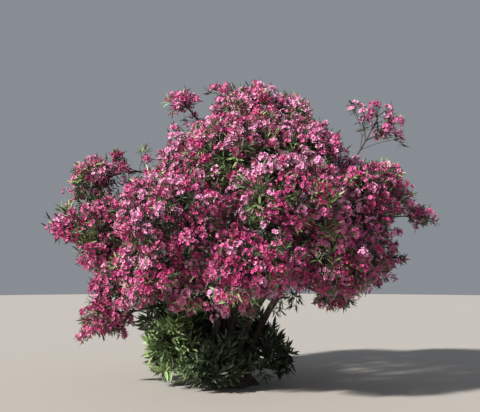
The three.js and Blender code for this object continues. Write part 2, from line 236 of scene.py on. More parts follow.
# %% The spaces of the foliage
AROUND = ("right", "back_right", "back", "back_left", "left", "front_left", "front", "front_right")
BETWEEN = ("right_back", "back_right", "back_left", "left_back",
           "left_front", "front_left", "front_right", "right_front")
FIVE = ("back_right", "back_left", "left", "front_left", "front_right")
TIERS = {  # ends at left and right, front and back, heights, half sizes, names, and the first angle
    "low": ((-1.23, 1.78), (-1.45, 1.5), (1.56, 1.83), (0.72, 0.52), AROUND, 0),
    "middle": ((-1.7, 1.85), (-1.5, 1.65), (2.09, 2.52), (0.74, 0.6), BETWEEN, 22),
    "high": ((-0.26, 0.99), (-0.82, 0.87), (3.06, 3.16), (0.71, 0.59), FIVE, 36),
}
OUTLIERS = {  # centre, half sizes, and the number of main twigs where the mass is sparse
    "top_left": ((0.23, -0.04, 3.76), (0.49, 0.59, 0.55), 0),
    "top_right": ((0.77, 0.06, 3.68), (0.54, 0.6, 0.53), 0),
    "top_tuft": ((-0.64, 0.06, 4.0), (0.26, 0.24, 0.24), 3),
    "left_lobe": ((-1.9, 0.08, 2.86), (0.46, 0.47, 0.41), 0),
    "left_tip": ((-2.36, 0.04, 2.21), (0.23, 0.22, 0.18), 2),
    "left_hanging": ((-1.7, -0.06, 1.01), (0.43, 0.42, 0.38), 0),
    "right_shoulder": ((2.19, 0.04, 2.84), (0.38, 0.43, 0.33), 0),
    "right_spray": ((2.12, 0.06, 3.69), (0.43, 0.34, 0.36), 4),
    "right_tip": ((2.69, 0.04, 2.37), (0.3, 0.26, 0.2), 3),
    "right_hanging": ((1.48, -0.16, 1.3), (0.43, 0.42, 0.27), 0),
}
BASALS = {  # centre, half sizes, and where it leaves the root crown
    "basal_left": ((-0.7, -0.12, 0.65), (0.46, 0.45, 0.65), (-0.25, 0.06, 0.19)),
    "basal_front": ((-0.17, -0.48, 0.34), (0.43, 0.34, 0.34), (-0.13, -0.19, 0.13)),
    "basal_right": ((0.67, 0.04, 0.45), (0.3, 0.36, 0.42), (0.29, 0.06, 0.15)),
    "basal_back": ((0.2, 0.6, 0.59), (0.39, 0.4, 0.59), (0.13, 0.2, 0.15)),
    "basal_back_left": ((-0.38, 0.62, 0.63), (0.41, 0.38, 0.63), (-0.15, 0.2, 0.15)),
}


def list_masses():
    """Each mass's name, centre, half sizes and number of main twigs if it is sparse. A tier is a
    ring: right = (1 + cos a) / 2 and back = (1 + sin a) / 2 blend its ends."""
    found = []
    for tier, (x, y, z, (wide, high), names, first) in TIERS.items():
        for i, name in enumerate(names):
            angle = math.radians(first + 360 / len(names) * i)
            right = 0.5 + math.cos(angle) / 2
            back = 0.5 + math.sin(angle) / 2
            centre = (mix(*x, right), mix(*y, back), mix(*z, right))
            found.append((f"{tier}_{name}", centre, (wide, wide, high), 0))
    found += [(name, *rest) for name, rest in OUTLIERS.items()]
    found += [(name, centre, size, 0) for name, (centre, size, _) in BASALS.items()]
    return found


masses = list_masses()
mass_names = [mass[0] for mass in masses]
centres = np.array([mass[1] for mass in masses])
sizes = np.array([mass[2] for mass in masses])
sparse = np.array([mass[3] for mass in masses])
basal = np.array([name.startswith("basal") for name in mass_names])
missing = [name for name in mass_names if f"foliage_{name}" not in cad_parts]
print("masses:", len(masses), "basal:", int(basal.sum()), "without a node:", missing)

# %% The boughs
HEART = np.array([0.25, 0.0, 1.9])  # the middle that all the boughs of the crown lead away from
BOUGH_START_SHARE = 0.8  # a bough's first radius, as a share of its stem's there
BOUGH_RADII = (0.034, 0.017)
BOUGH_REACH = 0.6  # share of the way from the heart to the middle of what it carries
BOUGH_LEAD = 0.45  # 0 sets off along the stem, and 1 straight at the tip
FORK_STEP = 0.1  # share of the bough between one fork and the next
BASAL_RISE = 0.35  # how steeply a mass at the foot sets off, against its metres from the middle
BOUGHS = {  # the stem, the share of the way up it, what it carries, and its tip where that is given
    "right": ("outer", 1, ("right_tip", "middle_right_front", "low_right"), None),
    "back_right": ("outer", 0.78, ("middle_right_back", "low_back_right"), None),
    "back": ("back", 1, ("middle_back_right", "low_back"), None),
    "back_left": ("back", 0.78, ("middle_back_left", "low_back_left"), None),
    "left": ("left", 1, ("left_tip", "middle_left_back", "low_left"), None),
    "front_left": ("left", 0.78, ("middle_left_front", "low_front_left"), None),
    "front": ("front", 1, ("middle_front_left", "low_front"), None),
    "front_right": ("right", 1, ("middle_front_right", "low_front_right"), None),
    "high_left": ("front", 0.82, ("high_front_left", "high_left"), None),
    "high_right": ("right", 0.8, ("high_front_right", "high_back_right"), None),
    "high_back": ("back", 0.9, ("high_back_left",), None),
    "top": ("middle", 1, ("top_left", "top_right", "top_tuft"), None),
    "left_lobe": ("left", 0.9, ("left_lobe",), (-1.15, 0.07, 2.98)),
    "right_spray": ("middle", 0.93, ("right_shoulder", "right_spray"), (1.8, 0.07, 2.97)),
    "left_hanging": ("left", 0.68, ("left_hanging",), (-1.22, -0.25, 1.04)),
    "right_hanging": ("right", 0.88, ("right_hanging",), (1.18, -0.33, 1.32)),
}


def bough_arc(parent, up, carried, tip):
    """A bough leaves its stem between the stem's heading and the middle of what it carries."""
    start = points_on(parent[None], [up])[0, 0]
    middle = np.mean([centres[mass_names.index(name)] for name in carried], axis=0)
    end = mix(HEART, middle, BOUGH_REACH) if tip is None else np.array(tip)
    lead = unit(mix(headings_on(parent[None], [up])[0, 0], unit(end - start), BOUGH_LEAD))
    return arcs_from(start, lead, end)


bough_arcs = {}
bough_radii = {}
forks = np.zeros_like(centres)
fork_headings = np.zeros_like(centres)
for name, (stem, up, carried, tip) in BOUGHS.items():
    arc = bough_arc(stem_arcs[stem], up, carried, tip)
    bough_arcs[name] = arc
    bough_radii[name] = (min(BOUGH_RADII[0], mix(*STEM_RADII, up) * BOUGH_START_SHARE), BOUGH_RADII[1])
    for i, mass in enumerate(carried):
        m = mass_names.index(mass)
        forks[m] = points_on(arc[None], [1 - i * FORK_STEP])[0, 0]
        fork_headings[m] = headings_on(arc[None], [1 - i * FORK_STEP])[0, 0]
for name, (*_, root) in BASALS.items():
    m = mass_names.index(name)
    forks[m] = root
    fork_headings[m] = unit(np.array([*root[:2], BASAL_RISE]))
print("boughs:", len(bough_arcs), "first fork:", forks[0].round(2))

# %% [markdown]
# A mesh made from arrays goes into Blender in a few calls, however large it is. The corners of all faces
# lie one after another in one list, and each face only says where its corners start. One helper does that
# for every piece, and also sets the piece on its body, hides the imported solids it stands for, and gives
# it its finish.

# %% From arrays to a piece
pieces_made = {}


def count_triangles(faces):
    """A face with k corners is k - 2 triangles."""
    return sum(len(group) * (group.shape[1] - 2) for group in faces)


def new_piece(name, vertices, faces, material, nodes, uv=None, grain=None, smooth=True):
    """A joined mesh from its vertices (n, 3) and its groups of faces (m, corners), with a UV map for
    each face corner or a grain vector for each vertex where its finish follows the surface."""
    corners = np.concatenate([group.ravel() for group in faces]).astype(np.int32)
    counts = np.concatenate([np.full(len(group), group.shape[1]) for group in faces])
    mesh = bpy.data.meshes.new(name)
    mesh.vertices.add(len(vertices))
    mesh.vertices.foreach_set("co", np.ascontiguousarray(vertices, np.float32).ravel())
    mesh.loops.add(len(corners))
    mesh.loops.foreach_set("vertex_index", corners)
    mesh.polygons.add(len(counts))
    starts = np.concatenate([[0], np.cumsum(counts)[:-1]]).astype(np.int32)
    mesh.polygons.foreach_set("loop_start", starts)
    mesh.polygons.foreach_set("use_smooth", np.full(len(counts), smooth))
    if uv is not None:
        layer = mesh.uv_layers.new(name="blade")
        layer.data.foreach_set("uv", np.ascontiguousarray(uv, np.float32).ravel())
    if grain is not None:
        layer = mesh.attributes.new("grain", "FLOAT_VECTOR", "POINT")
        layer.data.foreach_set("vector", np.ascontiguousarray(grain, np.float32).ravel())
    mesh.update(calc_edges=True)
    mesh.materials.append(material)
    piece = bpy.data.objects.new(name, mesh)
    bpy.context.collection.objects.link(piece)
    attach(piece, "root")
    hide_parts(*nodes)
    pieces_made[name] = count_triangles(faces)
    print(name, "triangles:", pieces_made[name])


# %% [markdown]
# Finishes are built from a few shader groups that several materials share. The first lets a colour
# drift lighter and darker over the plant, because no two leaves or petals are quite alike. Noise on
# object coordinates does it with no seam, at a broad scale for sprays and a fine one for blotches.

# %% Helpers for shader nodes
def new_group(name, inputs, outputs):
    """A shader node group with named sockets, and its first and last nodes."""
    group = bpy.data.node_groups.new(name, "ShaderNodeTree")
    for label, (kind, value) in inputs.items():
        socket = group.interface.new_socket(label, in_out="INPUT", socket_type=kind)
        socket.default_value = value
    for label, kind in outputs.items():
        group.interface.new_socket(label, in_out="OUTPUT", socket_type=kind)
    return group, group.nodes.new("NodeGroupInput"), group.nodes.new("NodeGroupOutput")


def add_node(tree, kind, settings=None, **values):
    """A node with its settings, and its inputs set to values or linked to other nodes' outputs. An
    input goes by its name with _ for each space, or by _ and its number where names repeat."""
    node = tree.nodes.new(kind)
    for key, value in (settings or {}).items():
        setattr(node, key, value)
    for key, value in values.items():
        socket = node.inputs[int(key[1:])] if key[1:].isdigit() else node.inputs[key.replace("_", " ")]
        if isinstance(value, bpy.types.NodeSocket):
            tree.links.new(value, socket)
        else:
            socket.default_value = value
    return node


def add_math(tree, operation, a, b=0.0):
    """One step of arithmetic on two numbers or sockets."""
    return add_node(tree, "ShaderNodeMath", {"operation": operation}, _0=a, _1=b).outputs[0]


def add_range(tree, value, low, high, to_low=0.0, to_high=1.0):
    """A value spread from one range to another, with soft ends."""
    return add_node(
        tree, "ShaderNodeMapRange", {"interpolation_type": "SMOOTHSTEP"},
        Value=value, From_Min=low, From_Max=high, To_Min=to_low, To_Max=to_high,
    ).outputs[0]


def add_blend(tree, factor, a, b):
    """A mix of two colours. A mix node keeps them in its inputs 6 and 7 and its output 2."""
    return add_node(tree, "ShaderNodeMix", {"data_type": "RGBA"}, Factor=factor, _6=a, _7=b).outputs[2]


def place_group(tree, group, **values):
    """A shader group placed in a tree with its own values."""
    return add_node(tree, "ShaderNodeGroup", {"node_tree": group}, **values)


print("the shader helpers are ready")

# %% The drift of a colour over the plant
HUE_DRIFT = 0.05  # how far the hue turns, as a share of how far the shade swings

drift, given, made = new_group(
    "colour_drift",
    {
        "Colour": ("NodeSocketColor", (0.5, 0.5, 0.5, 1)),
        "Broad scale": ("NodeSocketFloat", 3.0),
        "Fine scale": ("NodeSocketFloat", 40.0),
        "Amount": ("NodeSocketFloat", 0.3),
    },
    {"Colour": "NodeSocketColor", "Shade": "NodeSocketFloat"},
)
place = add_node(drift, "ShaderNodeTexCoord").outputs["Object"]
broad = add_node(drift, "ShaderNodeTexNoise", Vector=place, Scale=given.outputs["Broad scale"], Detail=2.0)
fine = add_node(drift, "ShaderNodeTexNoise", Vector=place, Scale=given.outputs["Fine scale"], Detail=3.0)
both = add_math(drift, "ADD", broad.outputs[0], fine.outputs[0])
swing = add_math(drift, "MULTIPLY", add_math(drift, "SUBTRACT", both, 1.0), given.outputs["Amount"])
shade = add_math(drift, "ADD", swing, 1.0)
tinted = add_node(drift, "ShaderNodeHueSaturation", Color=given.outputs["Colour"], Value=shade)
hue = add_math(drift, "ADD", add_math(drift, "MULTIPLY", swing, HUE_DRIFT), 0.5)
drift.links.new(hue, tinted.inputs["Hue"])
drift.links.new(tinted.outputs[0], made.inputs["Colour"])
drift.links.new(shade, made.inputs["Shade"])
print("group:", drift.name, "nodes:", len(drift.nodes))

# %% [markdown]
# Oleander bark is thin and grey-brown, with shallow lengthwise furrows, small pale pores and the
# scars of old shoots. The large forms are moved in the mesh, and the fine ones come from a bump. Its
# noise is read on a grain vector that runs round and along each limb, so the furrows follow the limb
# wherever it turns, which object coordinates couldn't do.

# %% The bark's fine relief
FURROW_DRAWN_OUT = 0.16  # how fast the furrows' noise changes along a limb, against round it
FURROW_EDGES = (0.36, 0.62)  # of the noise: all furrow below, all ridge above
PORE_EDGES = (0.1, 0.34)  # of the distance to a pore's middle
PORE_HEIGHT = 0.35  # against the height of a ridge

bark_group, given, made = new_group(
    "bark_grain",
    {
        "Furrow scale": ("NodeSocketFloat", 60.0),
        "Pore scale": ("NodeSocketFloat", 120.0),
    },
    {"Height": "NodeSocketFloat", "Furrow": "NodeSocketFloat", "Pore": "NodeSocketFloat"},
)
grain = add_node(bark_group, "ShaderNodeAttribute", {"attribute_name": "grain"}).outputs["Vector"]
drawn_out = add_node(bark_group, "ShaderNodeMapping", Vector=grain, Scale=(1, 1, FURROW_DRAWN_OUT))
furrows = add_node(
    bark_group, "ShaderNodeTexNoise", Vector=drawn_out.outputs[0],
    Scale=given.outputs["Furrow scale"], Detail=5.0, Roughness=0.62, Distortion=0.4,
)
pores = add_node(bark_group, "ShaderNodeTexVoronoi", Vector=grain, Scale=given.outputs["Pore scale"])
furrow = add_range(bark_group, furrows.outputs[0], *FURROW_EDGES)
pore = add_range(bark_group, pores.outputs["Distance"], *PORE_EDGES, to_low=1.0, to_high=0.0)
height = add_math(bark_group, "ADD", furrow, add_math(bark_group, "MULTIPLY", pore, PORE_HEIGHT))
bark_group.links.new(height, made.inputs["Height"])
bark_group.links.new(furrow, made.inputs["Furrow"])
bark_group.links.new(pore, made.inputs["Pore"])
print("group:", bark_group.name, "nodes:", len(bark_group.nodes))

# %% The bark of old and young wood
PORES_PER_FURROW = 2.2  # how much finer the pores are than the furrows
PORE_PALENESS = 0.45  # how much of the pores' own colour shows
BARK_ROUGHNESS = (0.95, 0.78)  # in a furrow, and on a ridge
BARK_DEPTH = 0.004  # metres


def bark_material(name, deep, ridge, pale, furrow_scale, bump):
    """Dark furrows, lighter ridges and pale pores, all drifting over the wood; the colours carry painted
    shade.
    """
    material, tree, shader = new_material(name)
    pore_scale = furrow_scale * PORES_PER_FURROW
    grains = place_group(tree, bark_group, Furrow_scale=furrow_scale, Pore_scale=pore_scale)
    wood = add_blend(tree, grains.outputs["Furrow"], (*deep, 1), (*ridge, 1))
    spot = add_math(tree, "MULTIPLY", grains.outputs["Pore"], PORE_PALENESS)
    spotted = add_blend(tree, spot, wood, (*pale, 1))
    drifting = place_group(tree, drift, Colour=spotted, Broad_scale=5.0, Fine_scale=45.0, Amount=0.7)
    tree.links.new(drifting.outputs["Colour"], shader.inputs["Base Color"])
    rough = add_range(tree, grains.outputs["Furrow"], 0, 1, *BARK_ROUGHNESS)
    tree.links.new(rough, shader.inputs["Roughness"])
    height = grains.outputs["Height"]
    relief = add_node(tree, "ShaderNodeBump", Height=height, Strength=bump, Distance=BARK_DEPTH)
    tree.links.new(relief.outputs[0], shader.inputs["Normal"])
    return material


# Both barks are darker than the wood's own grey-brown: painted shade for wood that stands in the crown's
# shade. The dark of the furrows is partly the bark's own colour and partly painted shade in them.
OLD_BARK_SHADED = ((0.020, 0.014, 0.010), (0.090, 0.068, 0.050), (0.18, 0.15, 0.12))  # furrow, ridge, pore
YOUNG_BARK_SHADED = ((0.028, 0.022, 0.014), (0.095, 0.080, 0.055), (0.19, 0.17, 0.13))
old_bark = bark_material("old_bark", *OLD_BARK_SHADED, furrow_scale=55.0, bump=0.8)
young_bark = bark_material("young_bark", *YOUNG_BARK_SHADED, furrow_scale=90.0, bump=0.5)
print("barks:", old_bark.name, young_bark.name)

# %% [markdown]
# The root crown is the low lobed stool that all the stems rise from. It flares at the ground, where
# it is cut flat. Its surface is a function of the turn and of the share of its height, so ridges can
# run down from each stem and fade out at the top. A grid of those two closes with a pole above and
# one below.

# %% The root crown
CROWN_HALF = (0.33, 0.27)  # metres, across and deep
CROWN_HEIGHT = 0.268
CROWN_FOOT = 1.14  # how far it spreads at the ground, as a share of those
CROWN_FLARE = 0.32  # the power that the radius falls with: small values keep the sides steep
CROWN_TOP = 1e-3  # what is left of the height where the top closes
CROWN_LOBES = 6
CROWN_LOBE_DEPTH = 0.13
CROWN_WAVES = (  # depth, number round it, slant and phase
    (0.030, 11, 2.5, 1.0),
    (0.022, 17, -4.0, 2.2),
    (0.013, 31, 6.0, 0.0),
    (0.012, 5, 21, 0.0),
)
CROWN_WAVES_AT_TOP = 0.35  # share of their depth
CROWN_UNEVEN = ((0.03, 7, 0, 1.3),)  # waves in the height of the rows
CROWN_GRID = (132, 44)  # places round it, and rows
CROWN_ROWS_UP = 1.7  # above 1, the rows lie closer towards the top


def grid_faces(rows, sides):
    """Quads between neighbouring rows of a grid that closes on itself round its sides."""
    row, side = np.meshgrid(np.arange(rows - 1), np.arange(sides), indexing="ij")
    here, after = row * sides + side, row * sides + (side + 1) % sides
    return np.stack([here, after, after + sides, here + sides], axis=-1).reshape(-1, 4)


def closed_grid_faces(rows, sides):
    """The quads of a grid, and triangles from its first and last rows to the two poles, which are the
    vertices that follow the grid's own."""
    here = np.arange(sides)
    after = (here + 1) % sides
    last = (rows - 1) * sides
    pole = np.full(sides, rows * sides)
    first_fan = np.stack([after, here, pole], axis=-1)
    last_fan = np.stack([last + here, last + after, pole + 1], axis=-1)
    return [grid_faces(rows, sides), np.vstack([first_fan, last_fan])]


def waves_round(angle, far, waves):
    """The sum of depth * sin(number * angle + slant * far + phase) over a few waves."""
    return sum(deep * np.sin(number * angle + slant * far + phase) for deep, number, slant, phase in waves)


def root_crown_surface():
    """radius share = foot * (1 - h)^flare, times 1 + depth * cos(lobes * angle)(1 - h), times 1 +
    small waves in the angle that fade with height, for the buttresses and furrows."""
    sides, rows = CROWN_GRID
    angle = np.linspace(0, 2 * np.pi, sides, endpoint=False)[None]
    h = (1 - (1 - np.linspace(0, 1, rows)) ** CROWN_ROWS_UP)[:, None]
    share = CROWN_FOOT * np.maximum(1 - h, CROWN_TOP) ** CROWN_FLARE
    lobes = 1 + CROWN_LOBE_DEPTH * np.cos(CROWN_LOBES * angle) * (1 - h)
    depth = CROWN_WAVES_AT_TOP + (1 - CROWN_WAVES_AT_TOP) * (1 - h)
    radius = share * lobes * (1 + waves_round(angle, h, CROWN_WAVES) * depth)
    x = CROWN_HALF[0] * radius * np.cos(angle)
    y = CROWN_HALF[1] * radius * np.sin(angle)
    z = CROWN_HEIGHT * h * (1 + waves_round(angle, h, CROWN_UNEVEN) * (1 - h))
    grid = np.stack([x, y, z], axis=-1).reshape(-1, 3)
    poles = [[0, 0, 0], [0, 0, CROWN_HEIGHT]]
    return np.vstack([grid, poles]), closed_grid_faces(rows, sides)


crown_vertices, crown_faces = root_crown_surface()
new_piece("bark_root_crown", crown_vertices, crown_faces, old_bark, ["root_crown"],
          grain=crown_vertices)

# %% [markdown]
# Each stem and bough is a profile carried along its arc. The profile is nearly round: a few waves
# make ribs that drift round it as it rises, bumps mark the scars of old shoots, and the foot flares
# where it grows out of the root crown. Moving real vertices gives an uneven edge against the light,
# which a bump alone can't.

# %% A profile carried along an arc
RIBS = ((0.055, 3, 2.1), (0.040, 5, -3.3), (0.028, 8, 4.7))  # depth, number round it, and slant
SWELLINGS = (0.030, 9.0)  # depth, and how fast they follow one another
SCARS_PER_METRE = 9
MOST_SCARS = 99
FIRST_SCAR = 0.05  # of the length
SCAR_HEIGHTS = (0.06, 0.2)  # of the radius
SCAR_WIDTH = 0.55
FLARE_LENGTH = 0.13  # metres
FOOT_POLE = 0.2  # how far the closed foot bulges, of the radius


def scars_on(angle, far, taper, rng):
    """A sum of bumps high * exp(-(distance / width)^2 - (turn / width)^2) at seeded places."""
    length = far[-1, 0]
    scars = np.zeros(np.broadcast(angle, far).shape)
    for scar_far, scar_angle, high in zip(
        rng.uniform(FIRST_SCAR, 1, int(length * SCARS_PER_METRE)) * length,
        rng.uniform(0, 2 * np.pi, MOST_SCARS),
        rng.uniform(*SCAR_HEIGHTS, MOST_SCARS),
    ):
        away = (far - scar_far) / (taper * SCAR_WIDTH)
        round_it = (np.mod(angle - scar_angle + np.pi, 2 * np.pi) - np.pi) / SCAR_WIDTH
        scars += high * np.exp(-(away**2) - round_it**2)
    return scars


def carried_profile(arc, radii, grid, seed, flare):
    """P(a, t) = centre(t) + r(a, t) (cos a across + sin a up), with r = taper times 1 + ribs + scars
    + flare exp(-distance / length). Ribs are sines of the angle whose phase drifts with distance."""
    sides, rows = grid
    rng = np.random.default_rng(seed)
    t = np.linspace(0, 1, rows)
    centre = points_on(arc[None], t)[0]
    tangent = headings_on(arc[None], t)[0]
    across = np.cross(arc[1] - arc[0], arc[2] - arc[1])
    across = unit(across if np.linalg.norm(across) > TINY else np.cross(SKEW, tangent[0]))
    up = np.cross(across, tangent)
    far = np.concatenate([[0], np.cumsum(np.linalg.norm(np.diff(centre, axis=0), axis=1))])[:, None]
    angle = np.linspace(0, 2 * np.pi, sides, endpoint=False)[None]
    *rib_phases, swelling_phase, side_phase = rng.uniform(0, 2 * np.pi, len(RIBS) + 2)
    ribs = waves_round(angle, far, [(*rib, phase) for rib, phase in zip(RIBS, rib_phases)])
    ribs += SWELLINGS[0] * np.sin(SWELLINGS[1] * far + swelling_phase + np.sin(angle + side_phase))
    taper = mix(*radii, t)[:, None]
    scars = scars_on(angle, far, taper, rng)
    radius = taper * (1 + ribs + scars + flare * np.exp(-far / FLARE_LENGTH))
    ring = np.cos(angle)[..., None] * across + np.sin(angle)[..., None] * up[:, None]
    grid_points = (centre[:, None] + radius[..., None] * ring).reshape(-1, 3)
    grain = np.stack(np.broadcast_arrays(taper * np.cos(angle), taper * np.sin(angle), far), axis=-1)
    poles = [arc[0] - FOOT_POLE * radii[0] * tangent[0], arc[2] + radii[1] * tangent[-1]]
    vertices = np.vstack([grid_points, poles])
    grains = np.vstack([grain.reshape(-1, 3), [[0, 0, 0]], [[0, 0, far[-1, 0]]]])
    faces = [group[:, ::-1] for group in closed_grid_faces(rows, sides)]
    return vertices, faces, grains


straight = arcs_from(np.zeros(3), UP, UP)
one_metre = carried_profile(straight, (0.05, 0.04), (16, 20), seed=0, flare=0.0)
print("a metre of bark on 16 by 20 places:", len(one_metre[0]), "vertices")

# %% All the stems and boughs
STEM_GRID = (26, 90)  # places round it, and rows
BOUGH_GRID = (16, 44)
STEM_SEED = 11
BOUGH_SEED = 31
STEM_FLARE = 0.55  # of the radius
BOUGH_FLARE = 0.3

for seed, (name, arc) in enumerate(stem_arcs.items()):
    vertices, faces, grains = carried_profile(arc, STEM_RADII, STEM_GRID, seed + STEM_SEED, STEM_FLARE)
    new_piece(f"bark_stem_{name}", vertices, faces, old_bark, [f"stem_{name}"], grain=grains)
for seed, (name, arc) in enumerate(bough_arcs.items()):
    radii = bough_radii[name]
    vertices, faces, grains = carried_profile(arc, radii, BOUGH_GRID, seed + BOUGH_SEED, BOUGH_FLARE)
    new_piece(f"bark_bough_{name}", vertices, faces, old_bark, [f"bough_{name}"], grain=grains)

# %% [markdown]
# A mass of foliage keeps to its own share of the crown: on its side of the flat border with each
# neighbour, and within reach of its own centre. The border lies where the two squared distances,
# each less its mass's squared round size, are equal. The sum is the same for one twig or for ten
# thousand, so it is done on whole arrays.

# %% How much room a place has
round_sizes = np.cbrt(sizes.prod(axis=1))
between = np.linalg.norm(centres[:, None] - centres, axis=-1) + np.eye(len(centres))


def room_at(places, owners):
    """The least of (their squared distance - own squared distance) / (2 * distance between centres)
    over the neighbours, each squared distance less the squared round size, and of the height."""
    reckoned = ((places[:, None] - centres) ** 2).sum(-1) - round_sizes**2
    own = np.take_along_axis(reckoned, owners[:, None], axis=1)
    room = (reckoned - own) / (2 * between[owners])
    np.put_along_axis(room, owners[:, None], np.inf, axis=1)
    return np.minimum(room.min(axis=1), places[:, 2])


LIMB_STATIONS = 24  # places along each stem and bough
AT_ONCE = 20000  # places reckoned together, which keeps the arrays small
limb_arcs = np.array([*stem_arcs.values(), *bough_arcs.values()])
limb_points = points_on(limb_arcs, np.linspace(0, 1, LIMB_STATIONS)).reshape(-1, 3)


def clear_of_limbs(places, gap):
    """True where a place is further than a gap from every stem and bough."""
    near = np.full(len(places), np.inf)
    for start in range(0, len(places), AT_ONCE):
        some = places[start:start + AT_ONCE]
        squared = ((some[:, None] - limb_points) ** 2).sum(-1)
        near[start:start + AT_ONCE] = np.sqrt(squared.min(axis=1))
    return near > gap


def openness(places, owners):
    """How far each place stands outside the other masses: the least of its distances from their
    centres, each as a share of that mass's half sizes."""
    far = np.linalg.norm((places[:, None] - centres) / sizes, axis=-1)
    np.put_along_axis(far, owners[:, None], np.inf, axis=1)
    return far.min(axis=1)


print("room at the first centre:", room_at(centres[:1], np.array([0])).round(3))

# %% [markdown]
# Twigs branch in three orders, each by the same rule. The ends of one order are spread evenly over a
# mass by a golden spiral that starts at the side facing out of the crown, and each new twig springs
# from whichever twig of the order before ends nearest to it. That fills the crown evenly and still
# branches as a shrub does. An end with no room is left out.

# %% Headings in a golden spiral
GOLDEN_ANGLE = math.pi * (3 - math.sqrt(5))


def spiral_headings(outward, count, spread, turn):
    """For each way out (n, 3), headings (n, count, 3) whose share outwards falls evenly from 1 to
    1 - spread while they turn by the golden angle: out * outward + sqrt(1 - out^2) (cos a side +
    sin a other)."""
    i = np.arange(count)
    out = 1 - (i + 0.5) / count * spread
    ring = np.sqrt(1 - out**2)[:, None]
    side, other = (way[:, None] for way in square_to(outward))
    angle = (i * GOLDEN_ANGLE + turn)[..., None]
    return out[:, None] * outward[:, None] + ring * (np.cos(angle) * side + np.sin(angle) * other)


print("three headings about straight up:", spiral_headings(UP[None], 3, 1.0, 0.0)[0].round(2).tolist())

# %% The rule for branching
SPREAD = 1.42  # how far round a mass its twigs reach: 1 is half of it, and 2 all round
SPARSE_SPREAD = 1.2
BASAL_SPREAD = 1.6
SPRING_LIMITS = (0.2, 0.96)  # share of a twig's length where others may spring
TWIG_LEAD = 0.5  # 0 sets off along the parent, and 1 straight at the end
TWIG_BEND = 0.5
TWIG_LIFT = 0.1  # how far the bend lies below the straight way, of the length
FURTHEST = 1.12  # of the mass's half size
LIMB_GAP = 0.05  # metres between a twig's end and a stem or bough
INSIDE = 0.8  # nearer than this share of another mass's half size, a twig would be deep in shade
spreads = np.where(sparse > 0, SPARSE_SPREAD, SPREAD)
spreads[basal] = BASAL_SPREAD


def outward_of(m):
    """The way that a mass faces: away from the heart, or along its own stem at the foot."""
    return unit(centres[m] - forks[m]) if basal[m] else unit(centres[m] - HEART)


def spring_share(parent, end):
    """Where on its parent a twig springs: the foot of the perpendicular from its end, less the
    length of that perpendicular, so that it leaves at about half a right angle."""
    chord = parent[:, 2] - parent[:, 0]
    squared = np.maximum((chord**2).sum(-1), TINY)
    foot = ((end - parent[:, 0]) * chord).sum(-1) / squared
    aside = np.linalg.norm(end - parent[:, 0] - foot[:, None] * chord, axis=-1) / np.sqrt(squared)
    return np.clip(foot - aside, *SPRING_LIMITS)


def twigs_to(ends, parents, lift=TWIG_LIFT):
    """An arc to each end from its parent. It leaves between the parent's heading and the straight
    way, and its bend is lowered by the lift, so that it turns up towards its end."""
    share = spring_share(parents, ends)[:, None]
    start = points_on(parents, share)[:, 0]
    lead = unit(mix(headings_on(parents, share)[:, 0], unit(ends - start), TWIG_LEAD))
    arcs = arcs_from(start, lead, ends, TWIG_BEND)
    arcs[:, 1, 2] -= lift * np.linalg.norm(ends - start, axis=1)
    return arcs


def branch_out(parents, parent_owners, counts, reach, rng, jitter, room, setback=0.0, lift=TWIG_LIFT,
               stands_out=0.0):
    """One order of twigs: their arcs, their masses and their parents' numbers. An end lies at the
    reach along its heading, less the setback for what it bears, and further out or in where the
    parent's whole spray stands out of the mass or sinks into it. Jitter says how far the headings
    stray, and room how far an end stays from the nearest border, in metres, less than nothing where
    it may cross. Setback and lift are for all the masses or for each, and stands_out likewise for the
    parents."""
    setback, lift = (np.broadcast_to(value, len(masses)) for value in (setback, lift))
    stands_out = np.broadcast_to(stands_out, len(parents))
    ends, owners, parent_of = [], [], []
    for m, count in enumerate(counts):
        mine = np.flatnonzero(parent_owners == m)
        if not len(mine) or not count:
            continue
        turn = rng.uniform(0, 2 * np.pi)
        headings = spiral_headings(outward_of(m)[None], count, spreads[m], turn)[0]
        aims = (headings + rng.normal(0, jitter, (count, 3))) * sizes[m]
        apart = (aims[:, None] * reach[1] + centres[m] - parents[mine, 2]) / sizes[m]
        bearer = mine[np.linalg.norm(apart, axis=-1).argmin(axis=1)]
        out = rng.uniform(*reach, count) + stands_out[bearer]
        ends.append(centres[m] + aims * out[:, None] - unit(aims) * setback[m])
        owners.append(np.full(count, m))
        parent_of.append(bearer)
    ends, owners, parent_of = np.concatenate(ends), np.concatenate(owners), np.concatenate(parent_of)
    within = np.linalg.norm((ends - centres[owners]) / sizes[owners], axis=1) < FURTHEST
    kept = within & (room_at(ends, owners) > room) & clear_of_limbs(ends, LIMB_GAP)
    kept &= openness(ends, owners) > INSIDE
    ends, owners, parent_of = ends[kept], owners[kept], parent_of[kept]
    arcs = twigs_to(ends, parents[parent_of], lift[owners])
    return arcs, owners, parent_of


print("the first mass faces:", outward_of(0).round(2))

# %% How many twigs each mass aims for
MAINS_PER_AREA = 3.4  # twigs for each square metre of a mass's face
SIDES_PER_AREA = 15.0
SHOOTS_PER_AREA = 112.0
SIDES_PER_SPARSE = 3  # side twigs for each main twig of a sparse mass
SHOOTS_PER_SPARSE = 9
FACE_SHARE = 0.6  # of the round surface of a mass
FULLNESS = {  # share of the shoots that a thin mass has
    "left_hanging": 0.75,
    "right_hanging": 0.7,
    "left_lobe": 0.8,
    "basal_left": 0.95,
    "basal_right": 0.6,
}

areas = 4 * np.pi * round_sizes**2 * FACE_SHARE
main_counts = np.where(sparse > 0, sparse, np.ceil(areas * MAINS_PER_AREA)).astype(int)
side_counts = np.where(sparse > 0, sparse * SIDES_PER_SPARSE, np.ceil(areas * SIDES_PER_AREA)).astype(int)
shoot_counts = np.where(sparse > 0, sparse * SHOOTS_PER_SPARSE, np.ceil(areas * SHOOTS_PER_AREA))
fullness = np.array([FULLNESS.get(name, 1.0) for name in mass_names])
shoot_counts = np.ceil(shoot_counts * fullness).astype(int)
print("aimed for:", main_counts.sum(), "mains,", side_counts.sum(), "sides,", shoot_counts.sum(), "shoots")

